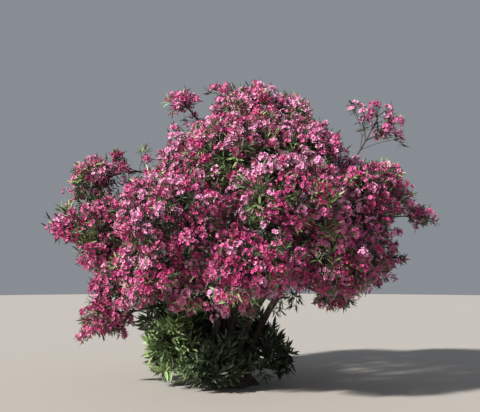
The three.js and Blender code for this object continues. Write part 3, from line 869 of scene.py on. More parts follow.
# %% Grow three orders of twigs
SEED = 7
MASS_LEAD = 0.6  # 0 sets off along the bough, and 1 straight at the middle of the mass
MASS_BEND = 0.4
MAIN_REACH = (0.5, 0.62)  # of the mass's half size
SIDE_REACH = (0.66, 0.86)
SHOOT_REACH = (0.84, 1.04)
SIDE_SETBACK = 0.03  # metres that a side twig leaves for its shoots
SHOOT_SETBACK = (0.085, 0.12)  # and a shoot for its leaves, in the crown and at the foot
SHOOT_LIFT = (0.18, 0.32)  # in the crown and at the foot
SPRAY_VARIES = 0.16  # how far whole sprays stand out or sink in, as a share of the mass's half size
SPRAY_LIMITS = (-0.42, 0.10)

rng = np.random.default_rng(SEED)
shoot_setback = np.where(basal, SHOOT_SETBACK[1], SHOOT_SETBACK[0])
shoot_lift = np.where(basal, SHOOT_LIFT[1], SHOOT_LIFT[0])
leads = np.where(basal, 0.0, MASS_LEAD)[:, None]  # at the foot, straight on from the root crown
mass_leads = unit(mix(fork_headings, unit(centres - forks), leads))
mass_arcs = arcs_from(forks, mass_leads, centres, MASS_BEND)
mains, main_owner, _ = branch_out(
    mass_arcs, np.arange(len(masses)), main_counts, MAIN_REACH, rng, jitter=0.08, room=0.02,
)
side_twigs, side_owner, side_parent = branch_out(
    mains, main_owner, side_counts, SIDE_REACH, rng, jitter=0.08, room=0.0, setback=SIDE_SETBACK,
)
stands_out = np.clip(rng.normal(0, SPRAY_VARIES, len(side_twigs)), *SPRAY_LIMITS)
shoots, shoot_owner, shoot_parent = branch_out(
    side_twigs, side_owner, shoot_counts, SHOOT_REACH, rng, jitter=0.05, room=-0.05,
    setback=shoot_setback, lift=shoot_lift, stands_out=stands_out,
)
print("mains:", len(mains), "sides:", len(side_twigs), "shoots:", len(shoots))

# %% [markdown]
# The even crown still lacks what is single on the real shrub: tufts that break the outline, a curtain
# of flowering shoots that hangs at the left, and sprays that fill the hollows between the masses. Each
# is one long twig from the mass that bears it, with a bunch of shoots round its end. So one short row
# of numbers places each of them.

# %% Single sprays out of the even crown
STRAY_UPWARD = 0.5  # how strongly a bunch's shoots tend upwards
STRAY_REACH = (0.5, 1.0)  # of the bunch's width
STRAYS = (  # bearer, end, number of shoots, width, and each shoot's chance of flowers
    # tufts along the outline at the upper left
    ("top_left", (-0.19, -0.02, 4.18), 5, 0.11, 0.9),
    ("high_left", (-0.80, 0.02, 3.56), 5, 0.11, 0.9),
    ("top_tuft", (-0.50, 0.04, 3.76), 4, 0.11, 0.9),
    ("top_tuft", (-0.40, 0.10, 3.66), 5, 0.11, 0.5),
    # the left lobe
    ("left_lobe", (-1.20, 0.04, 3.24), 5, 0.10, 0.6),
    ("left_lobe", (-1.62, 0.05, 3.20), 8, 0.14, 1.0),
    ("left_lobe", (-1.55, -0.06, 3.02), 6, 0.13, 0.8),
    ("left_lobe", (-1.52, -0.06, 2.80), 6, 0.13, 0.8),
    ("left_lobe", (-1.32, 0.10, 2.86), 4, 0.12, 0.3),
    # the curtain that hangs at the left
    ("low_left", (-1.38, -0.15, 1.52), 8, 0.15, 0.9),
    ("low_left", (-1.72, -0.05, 1.62), 8, 0.15, 0.9),
    ("low_left", (-1.62, 0.05, 1.42), 8, 0.15, 0.9),
    ("low_left", (-1.42, -0.10, 1.34), 8, 0.15, 0.8),
    ("low_left", (-1.26, 0.00, 1.16), 6, 0.13, 0.7),
    ("left_hanging", (-1.46, -0.10, 1.10), 8, 0.14, 0.9),
    ("left_hanging", (-1.42, -0.16, 0.88), 8, 0.13, 0.8),
    ("left_hanging", (-1.52, -0.05, 0.72), 6, 0.12, 0.5),
    ("left_hanging", (-1.75, -0.25, 1.32), 8, 0.14, 1.0),
    ("left_hanging", (-1.55, -0.34, 1.24), 8, 0.14, 1.0),
    ("left_hanging", (-1.70, -0.32, 1.08), 8, 0.13, 1.0),
    ("left_hanging", (-1.48, -0.36, 1.04), 8, 0.13, 1.0),
    ("left_hanging", (-1.98, -0.12, 0.64), 6, 0.10, 1.0),
    # the front and its lower edge
    ("low_front_left", (-0.62, -0.95, 1.16), 8, 0.16, 0.9),
    ("low_front_left", (-0.36, -1.00, 1.12), 8, 0.16, 0.9),
    ("low_front_left", (-0.38, -1.38, 1.24), 10, 0.18, 1.0),
    ("low_front_right", (1.06, -1.62, 1.94), 12, 0.20, 1.0),
    ("middle_front_left", (-0.34, -1.95, 1.93), 12, 0.20, 1.0),
    ("low_left", (-0.98, -0.50, 1.32), 8, 0.16, 0.9),
    ("low_front", (-0.06, -1.30, 1.05), 6, 0.12, 1.0),
    ("low_front", (0.26, -1.34, 1.03), 6, 0.12, 1.0),
    ("low_front_right", (0.62, -0.70, 1.12), 7, 0.15, 0.1),
    ("low_front_right", (0.86, -0.62, 1.16), 7, 0.15, 0.1),
    # hollows between the masses at the front
    ("low_front", (0.04, -0.98, 2.40), 8, 0.16, 0.9),
    ("middle_front_left", (-0.02, -0.95, 2.56), 8, 0.16, 0.8),
    ("middle_front_right", (0.16, -0.90, 2.54), 8, 0.16, 0.8),
    ("high_front_left", (0.08, -0.80, 2.72), 8, 0.16, 0.8),
    ("middle_front_left", (-0.52, -0.86, 2.68), 14, 0.24, 0.9),
    ("middle_front_left", (-0.74, -0.78, 2.62), 14, 0.24, 0.9),
    ("high_front_left", (-0.32, -0.82, 2.64), 12, 0.24, 0.9),
    ("high_left", (-0.70, -0.60, 2.80), 12, 0.22, 0.9),
    ("middle_left_front", (-1.00, -0.78, 2.66), 14, 0.24, 0.9),
    # leafy sprays inside the crown
    ("middle_front_left", (-0.80, -0.60, 2.46), 14, 0.26, 0.2),
    ("high_left", (-0.56, -0.42, 2.56), 12, 0.24, 0.2),
    ("high_left", (-0.30, -0.40, 2.40), 12, 0.24, 0.2),
    ("middle_back_left", (-0.48, 0.02, 2.22), 14, 0.30, 0.0),
    ("low_back_left", (-0.15, 0.20, 1.96), 14, 0.30, 0.0),
    ("low_back", (0.32, 0.52, 1.66), 14, 0.30, 0.0),
    ("middle_back_left", (-0.66, -0.15, 2.22), 14, 0.30, 0.0),
    ("middle_back_left", (-0.60, 0.20, 2.20), 14, 0.30, 0.0),
    ("low_back_left", (-0.25, 0.36, 1.96), 14, 0.30, 0.0),
    # hollows at the left, below the top and at the back
    ("middle_front_left", (-1.22, -1.16, 2.36), 8, 0.18, 0.9),
    ("middle_front_left", (-1.20, -1.18, 2.10), 8, 0.18, 0.9),
    ("high_front_left", (0.49, -0.86, 3.46), 8, 0.18, 1.0),
    ("top_right", (0.54, -0.60, 3.66), 8, 0.18, 0.9),
    ("high_front_left", (0.42, -0.76, 3.58), 8, 0.18, 1.0),
    ("high_front_left", (0.32, -0.88, 3.42), 8, 0.18, 1.0),
    ("top_left", (0.40, -0.30, 4.04), 8, 0.15, 1.0),
    ("top_right", (0.56, -0.32, 4.00), 8, 0.15, 1.0),
    ("high_back_left", (-0.06, 0.76, 3.42), 8, 0.18, 0.9),
    ("middle_back_left", (-0.02, 1.58, 2.36), 8, 0.18, 0.9),
    ("middle_back_left", (-0.02, 0.80, 2.50), 8, 0.16, 0.8),
    ("middle_back_right", (0.08, 1.56, 2.58), 8, 0.18, 0.9),
    ("high_back_left", (0.16, 0.80, 2.62), 8, 0.16, 0.8),
    # the spray and the tip at the right
    ("right_spray", (2.50, 0.05, 3.50), 4, 0.10, 0.8),
    ("right_spray", (2.42, 0.10, 3.72), 5, 0.11, 0.9),
    ("right_spray", (1.84, 0.00, 3.94), 5, 0.11, 0.9),
    ("right_tip", (2.50, -0.02, 2.50), 6, 0.13, 0.9),
    ("right_tip", (2.62, 0.03, 2.40), 6, 0.13, 0.6),
    # the foot
    ("basal_left", (-1.06, -0.05, 1.12), 8, 0.17, 0.0),
    ("basal_left", (-0.92, -0.20, 1.22), 8, 0.17, 0.0),
    ("basal_left", (-0.74, -0.36, 1.16), 8, 0.17, 0.0),
    ("basal_left", (-1.08, -0.12, 0.95), 8, 0.17, 0.0),
    ("basal_back_left", (-0.60, 0.10, 1.22), 8, 0.17, 0.0),
    ("basal_left", (-0.84, -0.28, 0.24), 8, 0.16, 0.0),
    ("basal_front", (-0.58, -0.50, 0.22), 8, 0.16, 0.0),
    ("basal_front", (0.04, -0.56, 0.62), 7, 0.16, 0.0),
    ("basal_front", (0.22, -0.52, 0.36), 7, 0.16, 0.0),
    ("basal_right", (0.40, -0.42, 0.46), 7, 0.16, 0.0),
    ("basal_right", (0.52, -0.30, 0.26), 7, 0.16, 0.0),
    ("basal_right", (0.26, -0.46, 0.92), 6, 0.15, 0.0),
)

bearers, stray_ends, stray_counts, stray_widths, stray_blooms = zip(*STRAYS)
stray_owner = np.array([mass_names.index(name) for name in bearers])
strays = twigs_to(np.array(stray_ends), mass_arcs[stray_owner])
stray_parent = np.repeat(np.arange(len(strays)), stray_counts)
around = unit(rng.normal(0, 1, (len(stray_parent), 3)) + STRAY_UPWARD * UP)
stray_reach = np.array(stray_widths)[stray_parent] * rng.uniform(*STRAY_REACH, len(stray_parent))
stray_shoots = twigs_to(strays[stray_parent, 2] + around * stray_reach[:, None], strays[stray_parent])
print("single sprays:", len(strays), "with shoots:", len(stray_shoots))

# %% [markdown]
# Behind the face of the crown stand shoots that bear leaves only. They are in shade, yet without them
# light would fall straight through. Their ends come from the same spiral, nearer to the middle.

# %% Inner shoots
INNER_REACH = (0.4, 0.82)
INNER_SHARE = 4  # a mass has one inner shoot for this many shoots on its face
BASAL_INNER_SHARE = 2
inner_counts = shoot_counts // np.where(basal, BASAL_INNER_SHARE, INNER_SHARE)
inner_counts[sparse > 0] = 0
inner, inner_owner, _ = branch_out(
    mains, main_owner, inner_counts, INNER_REACH, rng, jitter=0.1, room=0.0, lift=shoot_lift,
)
print("inner shoots:", len(inner))

# %% [markdown]
# At a few places one can look between the lobes of the crown. An opening is an ellipse seen from the
# front, and it passes right through, so only a stated share of the shoots that end inside it stays.

# %% Openings between the lobes
OPENINGS = (  # seen from the front: middle, half sizes, and what share of the shoots stays
    ((-2.34, 1.66), (0.46, 0.36), 0.0),
    ((-2.06, 1.18), (0.22, 0.26), 0.1),
    ((-2.54, 2.52), (0.24, 0.20), 0.0),
    ((2.26, 2.04), (0.26, 0.34), 0.5),
    ((1.98, 1.10), (0.32, 0.20), 0.0),
    ((1.00, 0.86), (0.36, 0.40), 0.0),
    ((-1.28, 2.80), (0.28, 0.17), 0.3),
)


def clear_of_openings(ends, rng):
    """True for the ends that stay: all outside the openings, and each opening's share inside it."""
    stays = np.ones(len(ends), bool)
    for middle, half_sizes, share in OPENINGS:
        inside = (((ends[:, [0, 2]] - middle) / half_sizes) ** 2).sum(axis=1) < 1
        stays &= ~inside | (rng.random(len(ends)) < share)
    return stays


stays = clear_of_openings(shoots[:, 2], rng)
shoots, shoot_owner, shoot_parent = shoots[stays], shoot_owner[stays], shoot_parent[stays]
stays = clear_of_openings(inner[:, 2], rng)
inner, inner_owner = inner[stays], inner_owner[stays]
shoots = np.concatenate([shoots, stray_shoots])
shoot_owner = np.concatenate([shoot_owner, stray_owner[stray_parent]])
shoot_parent = np.concatenate([shoot_parent, stray_parent + len(side_twigs)])
side_twigs = np.concatenate([side_twigs, strays])
side_owner = np.concatenate([side_owner, stray_owner])
print("all sides:", len(side_twigs), "shoots:", len(shoots), "inner:", len(inner))

# %% [markdown]
# A twig is a tapering bar with three to six sides. All the twigs of one order share one layout, so
# one array holds every ring of every twig, and the faces of the first twig, shifted along, are the
# faces of them all. Each starts a little inside the twig that bears it.

# %% Bars for the twigs
GRAIN_LENGTH = 0.4  # metres of bark along each twig


def bar_faces(count, sides, steps):
    """Quads along each bar, and a cap at each end."""
    first = grid_faces(steps + 1, sides)
    shift = (np.arange(count) * sides * (steps + 1))[:, None, None]
    near_cap = np.arange(sides)[None, ::-1]
    far_cap = np.arange(sides)[None] + sides * steps
    return [
        (first[None] + shift).reshape(-1, 4),
        (np.vstack([near_cap, far_cap])[None] + shift).reshape(-1, sides),
    ]


def bars(arcs, from_radius, to_radius, sides, steps):
    """Ring j of bar i is the place on its arc + radius (cos a side + sin a other)."""
    t = np.linspace(0, 1, steps + 1)
    centre, tangent = points_on(arcs, t), headings_on(arcs, t)
    side, other = square_to(tangent)
    angle = np.linspace(0, 2 * np.pi, sides, endpoint=False)[:, None]
    radius = mix(from_radius, to_radius, t)[:, None, None]
    ring = np.cos(angle) * side[:, :, None] + np.sin(angle) * other[:, :, None]
    places = centre[:, :, None] + radius * ring
    grain = np.empty_like(places)
    grain[..., :2] = radius * np.concatenate([np.cos(angle), np.sin(angle)], axis=1)
    grain[..., 2] = GRAIN_LENGTH * t[:, None]
    return places.reshape(-1, 3), bar_faces(len(arcs), sides, steps), grain.reshape(-1, 3)


def join(parts):
    """Several meshes as one: the faces of each are shifted past the vertices before it."""
    vertices, faces, extras, shift = [], [], [], 0
    for part_vertices, part_faces, extra in parts:
        vertices.append(part_vertices)
        faces += [group + shift for group in part_faces]
        extras.append(extra)
        shift += len(part_vertices)
    return np.concatenate(vertices), faces, np.concatenate(extras)


TWIG_RADII = (0.016, 0.010)  # metres, at the foot and the tip of each order
MAIN_RADII = (0.0095, 0.006)
SIDE_RADII = (0.006, 0.004)
SHOOT_RADII = (0.0042, 0.003)
all_nodes = [f"foliage_{name}" for name in mass_names]
flower_nodes = [f"foliage_{name}" for name, low in zip(mass_names, basal) if not low]
vertices, faces, grains = join([
    bars(mass_arcs, *TWIG_RADII, sides=6, steps=8),
    bars(mains, *MAIN_RADII, sides=4, steps=5),
    bars(side_twigs, *SIDE_RADII, sides=3, steps=3),
])
new_piece("twigs_main", vertices, faces, young_bark, all_nodes, grain=grains)
vertices, faces, grains = join([
    bars(shoots, *SHOOT_RADII, sides=3, steps=1),
    bars(inner, *SHOOT_RADII, sides=3, steps=1),
])
new_piece("twigs_fine", vertices, faces, young_bark, all_nodes, grain=grains)

# %% [markdown]
# Each side twig with its shoots is a spray. On a real oleander one spray is heavy with blossom while
# the next has only leaves, and neighbouring sprays differ in tint. So what a shoot bears, and which
# base colour it gets, are dealt out by spray, and only a few plain tints are needed.

# %% Deal out blossom and tints to the sprays
DEAL_SEED = 3
LEAFY_MAINS = 0.05  # share of the main twigs whose sprays are all leafy
LEAFY_SPRAYS = 0.09
FLOWER_CHANCE = (0.35, 0.92)  # of a shoot in a leafy spray, and in a flowering one
MORE_BLOOM = 1.2  # in the masses where blossom covers nearly all
BLOOMING = ("top_left", "top_right", "low_front", "low_front_left", "low_front_right", "low_right",
            "middle_right_front", "right_shoulder", "right_hanging")
LEAF_TINTS = ("dark", "deep", "mid", "bright")
LEAF_ODDS = {  # of each tint for a spray; at the foot they paint light and shade: bright at the left as painted sunlight, dark at the front, right and back as painted shade
    "crown": (0.08, 0.34, 0.42, 0.16),
    "basal_left": (0.0, 0.06, 0.22, 0.72),
    "basal_front": (0.55, 0.30, 0.13, 0.02),
    "basal_right": (0.70, 0.22, 0.07, 0.01),
    "basal_back": (0.50, 0.33, 0.14, 0.03),
    "basal_back_left": (0.25, 0.35, 0.28, 0.12),
}
PETAL_TINTS = ("deep", "rose", "light")
PETAL_HEIGHTS = (1.6, 3.8)  # metres
PETAL_ODDS = ((0.55, 0.37, 0.08), (0.06, 0.30, 0.64))  # of each tint at those heights: paler at the top as painted sunlight, deeper low down as painted shade

rng = np.random.default_rng(DEAL_SEED)
spray_leafy = rng.random(len(side_twigs)) < LEAFY_SPRAYS
spray_leafy[:len(side_parent)] |= (rng.random(len(mains)) < LEAFY_MAINS)[side_parent]
bloom = np.where(np.isin(mass_names, BLOOMING), MORE_BLOOM, 1.0)
spray_chance = np.where(spray_leafy, *FLOWER_CHANCE) * bloom[side_owner]
spray_chance[len(side_parent):] = stray_blooms
tint_steps = np.cumsum([LEAF_ODDS.get(name, LEAF_ODDS["crown"]) for name in mass_names], axis=1)
spray_leaf_tint = (rng.random(len(side_twigs))[:, None] > tint_steps[side_owner, :-1]).sum(axis=1)
# The petals pale with height: painted sunlight on the top of the crown and painted shade low down.
up_the_crown = np.clip((side_twigs[:, 2, 2] - PETAL_HEIGHTS[0]) / np.ptp(PETAL_HEIGHTS), 0, 1)[:, None]
petal_steps = np.cumsum(mix(np.array(PETAL_ODDS[0]), np.array(PETAL_ODDS[1]), up_the_crown), axis=1)
spray_petal_tint = (rng.random(len(side_twigs))[:, None] > petal_steps[:, :-1]).sum(axis=1)
print("leafy sprays:", int(spray_leafy.sum()), "sprays of each leaf tint:", np.bincount(spray_leaf_tint))

# %% [markdown]
# Within a spray the shoots still differ. Blossom gathers in clumps, shoots deep between two masses
# stay leafy, those under a mass flower less, and some heads have a tint of their own. The clumps come
# from a few waves that cross the plant, because their sum rises and falls smoothly and never repeats.

# %% Deal out blossom and tints to the shoots
CLUMP_WAVES = 9
CLUMP_LENGTHS = (0.32, 0.55)  # metres
CLUMPED = 0.32  # how far a clump raises or lowers a shoot's chance of flowers
OPEN = 0.9  # nearer to another mass than this share of its half size, a shoot has no flowers
UNDERSIDE = -0.85  # the sine of the angle below its mass's middle where a shoot counts as under it
UNDER_SHARE = 0.6  # share of its chance of flowers that such a shoot keeps
OWN_TINT = 0.4  # share of the heads whose petals don't take their spray's tint
INNER_TINTS = 2  # in their shade the inner leaves have only the darkest tints


def clumps(places, rng):
    """A smooth value about 0, with a spread of 1, that rises and falls over clumps of shoots: the sum
    of waves that cross the plant in seeded directions, over the square root of half their number."""
    ways = unit(rng.normal(0, 1, (CLUMP_WAVES, 3)))
    ways *= 2 * np.pi / rng.uniform(*CLUMP_LENGTHS, (CLUMP_WAVES, 1))
    waves = np.sin(places @ ways.T + rng.uniform(0, 2 * np.pi, CLUMP_WAVES))
    return waves.sum(axis=1) / math.sqrt(CLUMP_WAVES / 2)


chance = spray_chance[shoot_parent]
shoot_place = unit((shoots[:, 2] - centres[shoot_owner]) / sizes[shoot_owner])
chance *= np.where(shoot_place[:, 2] < UNDERSIDE, UNDER_SHARE, 1.0)
clump = clumps(shoots[:, 2], rng)
flowering = (rng.random(len(shoots)) < chance + CLUMPED * clump) & ~basal[shoot_owner]
flowering &= openness(shoots[:, 2], shoot_owner) > OPEN
leaf_tint = spray_leaf_tint[shoot_parent]
petal_tint = spray_petal_tint[shoot_parent]
own_way = rng.random(len(shoots)) < OWN_TINT
petal_tint = np.where(own_way, rng.choice(len(PETAL_TINTS), len(shoots)), petal_tint)
inner_tint = rng.choice(INNER_TINTS, len(inner))
print("flowering shoots:", int(flowering.sum()), "leafy shoots:", int((~flowering).sum()))

# %% [markdown]
# An oleander leaf is a long lance: 10 to 20 cm, leathery, dark above and paler below, folded a little
# along a pale midrib, and set in threes round the shoot. Eight triangles give that outline, its fold
# and its droop. One leaf is worked out once and then set at every place as arrays.

# %% One leaf
LEAF_HALF_WIDTH = 0.083  # of the length
LEAF_STATIONS = (0.30, 0.68)  # places along it where it has edges and a midrib
LEAF_OUTLINE = (0.8, 0.7)  # the powers that set where it is widest, and how fast it widens
LEAF_FOLD = 0.32  # how far the edges rise, of the half width
LEAF_DROOP = 0.16  # how far the tip falls, of the length


def one_leaf():
    """half width = widest * sin(pi v^0.8)^0.7 at each station; the edges rise by the fold, and all of
    it falls by droop * v^2. Its length is 1 along Y and its upper side is +Z."""
    rows = [[0, 0, 0]]
    uv = [[0.5, 0]]
    for v in LEAF_STATIONS:
        half = LEAF_HALF_WIDTH * math.sin(math.pi * v ** LEAF_OUTLINE[0]) ** LEAF_OUTLINE[1]
        fall = -LEAF_DROOP * v * v
        rows += [[-half, v, fall + LEAF_FOLD * half], [0, v, fall], [half, v, fall + LEAF_FOLD * half]]
        uv += [[0, v], [0.5, v], [1, v]]
    rows.append([0, 1, -LEAF_DROOP])
    uv.append([0.5, 1])
    faces = [[0, 2, 1], [0, 3, 2], [1, 2, 5], [1, 5, 4], [2, 3, 6], [2, 6, 5], [4, 5, 7], [5, 6, 7]]
    return np.array(rows, float), np.array(faces), np.array(uv, float)


leaf = one_leaf()
print("leaf triangles:", len(leaf[1]))

# %% Many copies of one small piece
ABOVE_GROUND = 0.006  # metres
PROUD = 0.015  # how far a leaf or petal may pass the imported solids' box, as a share of its side
box_low, box_high = np.array(cad_low), np.array(cad_high)
lowest = box_low - PROUD * (box_high - box_low)
highest = box_high + PROUD * (box_high - box_low)
lowest[2] = ABOVE_GROUND


def frames_from(along, facing):
    """Axes for each small piece: Y along it, Z as near its facing as may be, and X across."""
    across = unit(np.cross(along, facing))
    return np.stack([across, along, np.cross(across, along)], axis=-1)


def set_many(template, faces, uv, axes, roots, scales):
    """Every copy: root + axes @ (template * scale), with the faces shifted for each. A copy with a
    corner in the ground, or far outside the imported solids' box, is left out."""
    places = np.einsum("nij,nkj->nki", axes, template * scales[:, None]) + roots[:, None]
    places = places[((places > lowest) & (places < highest)).all(axis=(1, 2))]
    shift = (np.arange(len(places)) * len(template))[:, None, None]
    uvs = np.tile(uv[faces.ravel()], (len(places), 1))
    return places.reshape(-1, 3), [(faces[None] + shift).reshape(-1, 3)], uvs


print("copies stay between", lowest.round(3), "and", highest.round(3))

# %% Whorls of leaves
LEAVES_PER_WHORL = 3
LEAF_LENGTH = 0.13  # metres
LEAF_LENGTHS = (0.78, 1.15)  # against the usual length
LEAF_WIDTHS = (0.85, 1.15)  # against the usual width for that length
LEAF_OFF_TWIG = 0.002  # metres from the shoot's middle line to the foot of a leaf
TURN_VARIES = 0.15  # radians, as is the next
LEAN_VARIES = 0.18
FACING_VARIES = 0.12
WHORL_VARIES = 0.02  # of the shoot's length


def whorl(arcs, share, lean, length, rng):
    """Three leaves at one share of each shoot: aim = cos(lean) tangent + sin(lean) radial, turned a
    third of a circle apart, with the upper side towards the shoot's tip."""
    n = len(arcs)
    root = points_on(arcs, share[:, None])[:, 0]
    tangent = headings_on(arcs, share[:, None])[:, 0]
    side, other = square_to(tangent)
    turn = rng.uniform(0, 2 * np.pi, n)
    found = []
    for k in range(LEAVES_PER_WHORL):
        angle = (turn + k * 2 * np.pi / LEAVES_PER_WHORL + rng.normal(0, TURN_VARIES, n))[:, None]
        tilt = (lean + rng.normal(0, LEAN_VARIES, n))[:, None]
        radial = np.cos(angle) * side + np.sin(angle) * other
        aim = unit(np.cos(tilt) * tangent + np.sin(tilt) * radial)
        facing = np.sin(tilt) * tangent - np.cos(tilt) * radial + rng.normal(0, FACING_VARIES, (n, 3))
        long = length * rng.uniform(*LEAF_LENGTHS, n)
        found.append((root + radial * LEAF_OFF_TWIG, aim, facing, long))
    return [np.concatenate(column) for column in zip(*found)]


one_whorl = whorl(mains[:1], np.array([0.5]), 0.8, LEAF_LENGTH, np.random.default_rng(SEED))
print("leaf lengths in one whorl:", one_whorl[3].round(3))

# %% Leaves on all the shoots
BASAL_LEAF_LENGTH = 0.17  # metres, on the shoots at the foot
BASAL_LEAF_WIDER = 1.3
LEAFY_WHORLS = ((0.99, 0.35), (0.86, 0.75), (0.70, 0.98), (0.5, 1.1))  # how far up, and lean in radians
FLOWER_WHORLS = ((0.98, 0.62), (0.88, 0.95), (0.66, 1.1))
KEPT_LEAF = (0.85, 0.75, 0.5, 0.15)  # chance that a leaf of each whorl is still there
KEPT_FLOWER_LEAF = (0.4, 0.5, 0.35)
TIP_GAP = 0.03  # metres between a leaf's tip and the ground, a stem or a bough


def leaves_on(arcs, owners, tints, whorls, chances, rng):
    """All the leaves of some shoots, with the tint of each."""
    found = []
    length = np.where(basal[owners], BASAL_LEAF_LENGTH, LEAF_LENGTH)
    wider = np.tile(np.where(basal[owners], BASAL_LEAF_WIDER, 1), LEAVES_PER_WHORL)
    tint = np.tile(tints, LEAVES_PER_WHORL)
    for (share, lean), chance in zip(whorls, chances):
        shares = np.clip(share + rng.normal(0, WHORL_VARIES, len(arcs)), 0, 1)
        root, aim, facing, long = whorl(arcs, shares, lean, length, rng)
        wide = long * rng.uniform(*LEAF_WIDTHS, len(long)) * wider
        kept = rng.random(len(root)) < chance
        found.append([column[kept] for column in (root, aim, facing, long, wide, tint)])
    return [np.concatenate(column) for column in zip(*found)]


leafy = (shoots[~flowering], shoot_owner[~flowering], leaf_tint[~flowering])
flowery = (shoots[flowering], shoot_owner[flowering], leaf_tint[flowering])
kinds = (
    leaves_on(*leafy, LEAFY_WHORLS, KEPT_LEAF, rng),
    leaves_on(*flowery, FLOWER_WHORLS, KEPT_FLOWER_LEAF, rng),
    leaves_on(inner, inner_owner, inner_tint, LEAFY_WHORLS[:2], KEPT_LEAF, rng),
)
leaves = [np.concatenate(column) for column in zip(*kinds)]
roots, aims, _, lengths, *_ = leaves
leaf_tips = roots + aims * lengths[:, None]
kept = (leaf_tips[:, 2] > TIP_GAP) & clear_of_limbs(leaf_tips, TIP_GAP)
leaves = [column[kept] for column in leaves]
print("leaves:", int(kept.sum()))

# %% [markdown]
# The leaf's finish follows its own UV map, which runs across and along each blade. The midrib is a pale
# line down the middle, the blade is painted darker towards its root as shade, and the underside, which the
# shader tells by Backfacing, is a paler and duller green. The leathery gloss is a low roughness that
# drifts.

# %% The colours and relief of a blade
VEIN_HEIGHT = 0.25  # against the midrib's
RIB_STRENGTH = 0.6  # how much of the midrib's own colour shows
SHADED_SHARE = 0.35  # how much of the painted shade shows at the root
SHADED_LENGTH = 0.5  # where it has faded out, of the blade's length
SHADED_COLOUR = (0.01, 0.02, 0.008, 1)

blade_group, given, made = new_group(
    "leaf_blade",
    {
        "Blade": ("NodeSocketColor", (0.05, 0.1, 0.03, 1)),
        "Rib": ("NodeSocketColor", (0.3, 0.4, 0.15, 1)),
        "Rib width": ("NodeSocketFloat", 0.10),
    },
    {"Colour": "NodeSocketColor", "Height": "NodeSocketFloat"},
)
blade_uv = add_node(blade_group, "ShaderNodeUVMap", {"uv_map": "blade"}).outputs[0]
split = add_node(blade_group, "ShaderNodeSeparateXYZ", Vector=blade_uv)
from_rib = add_math(blade_group, "ABSOLUTE", add_math(blade_group, "SUBTRACT", split.outputs[0], 0.5))
rib = add_range(blade_group, from_rib, 0.0, given.outputs["Rib width"], to_low=1.0, to_high=0.0)
veins = add_node(
    blade_group, "ShaderNodeTexWave", {"bands_direction": "Y"},
    Vector=blade_uv, Scale=9.0, Distortion=1.5,
)
vein_height = add_math(blade_group, "MULTIPLY", veins.outputs["Fac"], VEIN_HEIGHT)
near_root = add_range(blade_group, split.outputs[1], 0.0, SHADED_LENGTH, SHADED_SHARE, to_high=0.0)
shaded = add_blend(blade_group, near_root, given.outputs["Blade"], SHADED_COLOUR)
rib_share = add_math(blade_group, "MULTIPLY", rib, RIB_STRENGTH)
ribbed = add_blend(blade_group, rib_share, shaded, given.outputs["Rib"])
blade_group.links.new(ribbed, made.inputs["Colour"])
blade_group.links.new(add_math(blade_group, "ADD", vein_height, rib), made.inputs["Height"])
print("group:", blade_group.name, "nodes:", len(blade_group.nodes))

# %% The finish of a leaf
SHADES = (0.7, 1.3)  # how far the drift of a colour swings
LEAF_ROUGHNESS = (0.58, 0.42)  # where the colour drifts dark, and where it drifts light
LEAF_RELIEF = 0.25  # strength of the bump
LEAF_THICKNESS = 0.002  # metres


def leaf_material(name, blade, rib_colour, under):
    """A leathery blade with a pale rib, and a duller underside."""
    material, tree, shader = new_material(name)
    blades = place_group(tree, blade_group, Blade=(*blade, 1), Rib=(*rib_colour, 1), Rib_width=0.10)
    colour = blades.outputs["Colour"]
    drifting = place_group(tree, drift, Colour=colour, Broad_scale=2.5, Fine_scale=30.0, Amount=0.9)
    back = add_node(tree, "ShaderNodeNewGeometry").outputs["Backfacing"]
    below = place_group(tree, drift, Colour=(*under, 1), Broad_scale=2.5, Fine_scale=30.0, Amount=0.5)
    coloured = add_blend(tree, back, drifting.outputs["Colour"], below.outputs["Colour"])
    tree.links.new(coloured, shader.inputs["Base Color"])
    rough = add_range(tree, drifting.outputs["Shade"], *SHADES, *LEAF_ROUGHNESS)
    tree.links.new(rough, shader.inputs["Roughness"])
    height = blades.outputs["Height"]
    relief = add_node(tree, "ShaderNodeBump", Height=height, Strength=LEAF_RELIEF, Distance=LEAF_THICKNESS)
    tree.links.new(relief.outputs[0], shader.inputs["Normal"])
    return material


# The dark tint is painted shade for the foot and the inner leaves, and the bright tint at the left of the
# foot is painted sunlight; in the crown the four tints are also dealt out at random.
LEAF_COLOURS = {  # blade, rib and underside
    "dark": ((0.014, 0.027, 0.012), (0.08, 0.12, 0.05), (0.030, 0.047, 0.024)),
    "deep": ((0.032, 0.058, 0.026), (0.14, 0.20, 0.08), (0.064, 0.096, 0.050)),
    "mid": ((0.078, 0.128, 0.048), (0.28, 0.35, 0.16), (0.124, 0.170, 0.084)),
    "bright": ((0.240, 0.360, 0.125), (0.48, 0.56, 0.28), (0.260, 0.320, 0.160)),
}
for number, tint in enumerate(LEAF_TINTS):
    mine = leaves[-1] == number
    root, aim, facing, long, wide, _ = (column[mine] for column in leaves)
    scales = np.stack([wide, long, long], axis=1)
    vertices, faces, uv = set_many(*leaf, frames_from(aim, facing), root, scales)
    material = leaf_material(f"leaf_{tint}", *LEAF_COLOURS[tint])
    new_piece(f"leaves_{tint}", vertices, faces, material, all_nodes, uv=uv, smooth=False)

# %% [markdown]
# Blossom stands in loose domes at the ends of the shoots. Each flower is a narrow funnel that opens
# into five blunt petals, each a little skewed, like a slow propeller. Ten triangles give the petals
# and their funnel, and a golden spiral over each shoot's tip spaces the flowers of a dome.

# %% One flower and one bud
PETALS = 5
FUNNEL_DEPTH = 0.55  # in flower radii, as are the reach and the rise of a petal's corners
PETAL_CORNERS = ((-27, 0.92, 0.10), (2, 1.06, 0.24), (29, 0.84, -0.02))  # turn, reach and rise
BUD_BELLY = (0.11, 0.7)  # its half width and its place, of the length


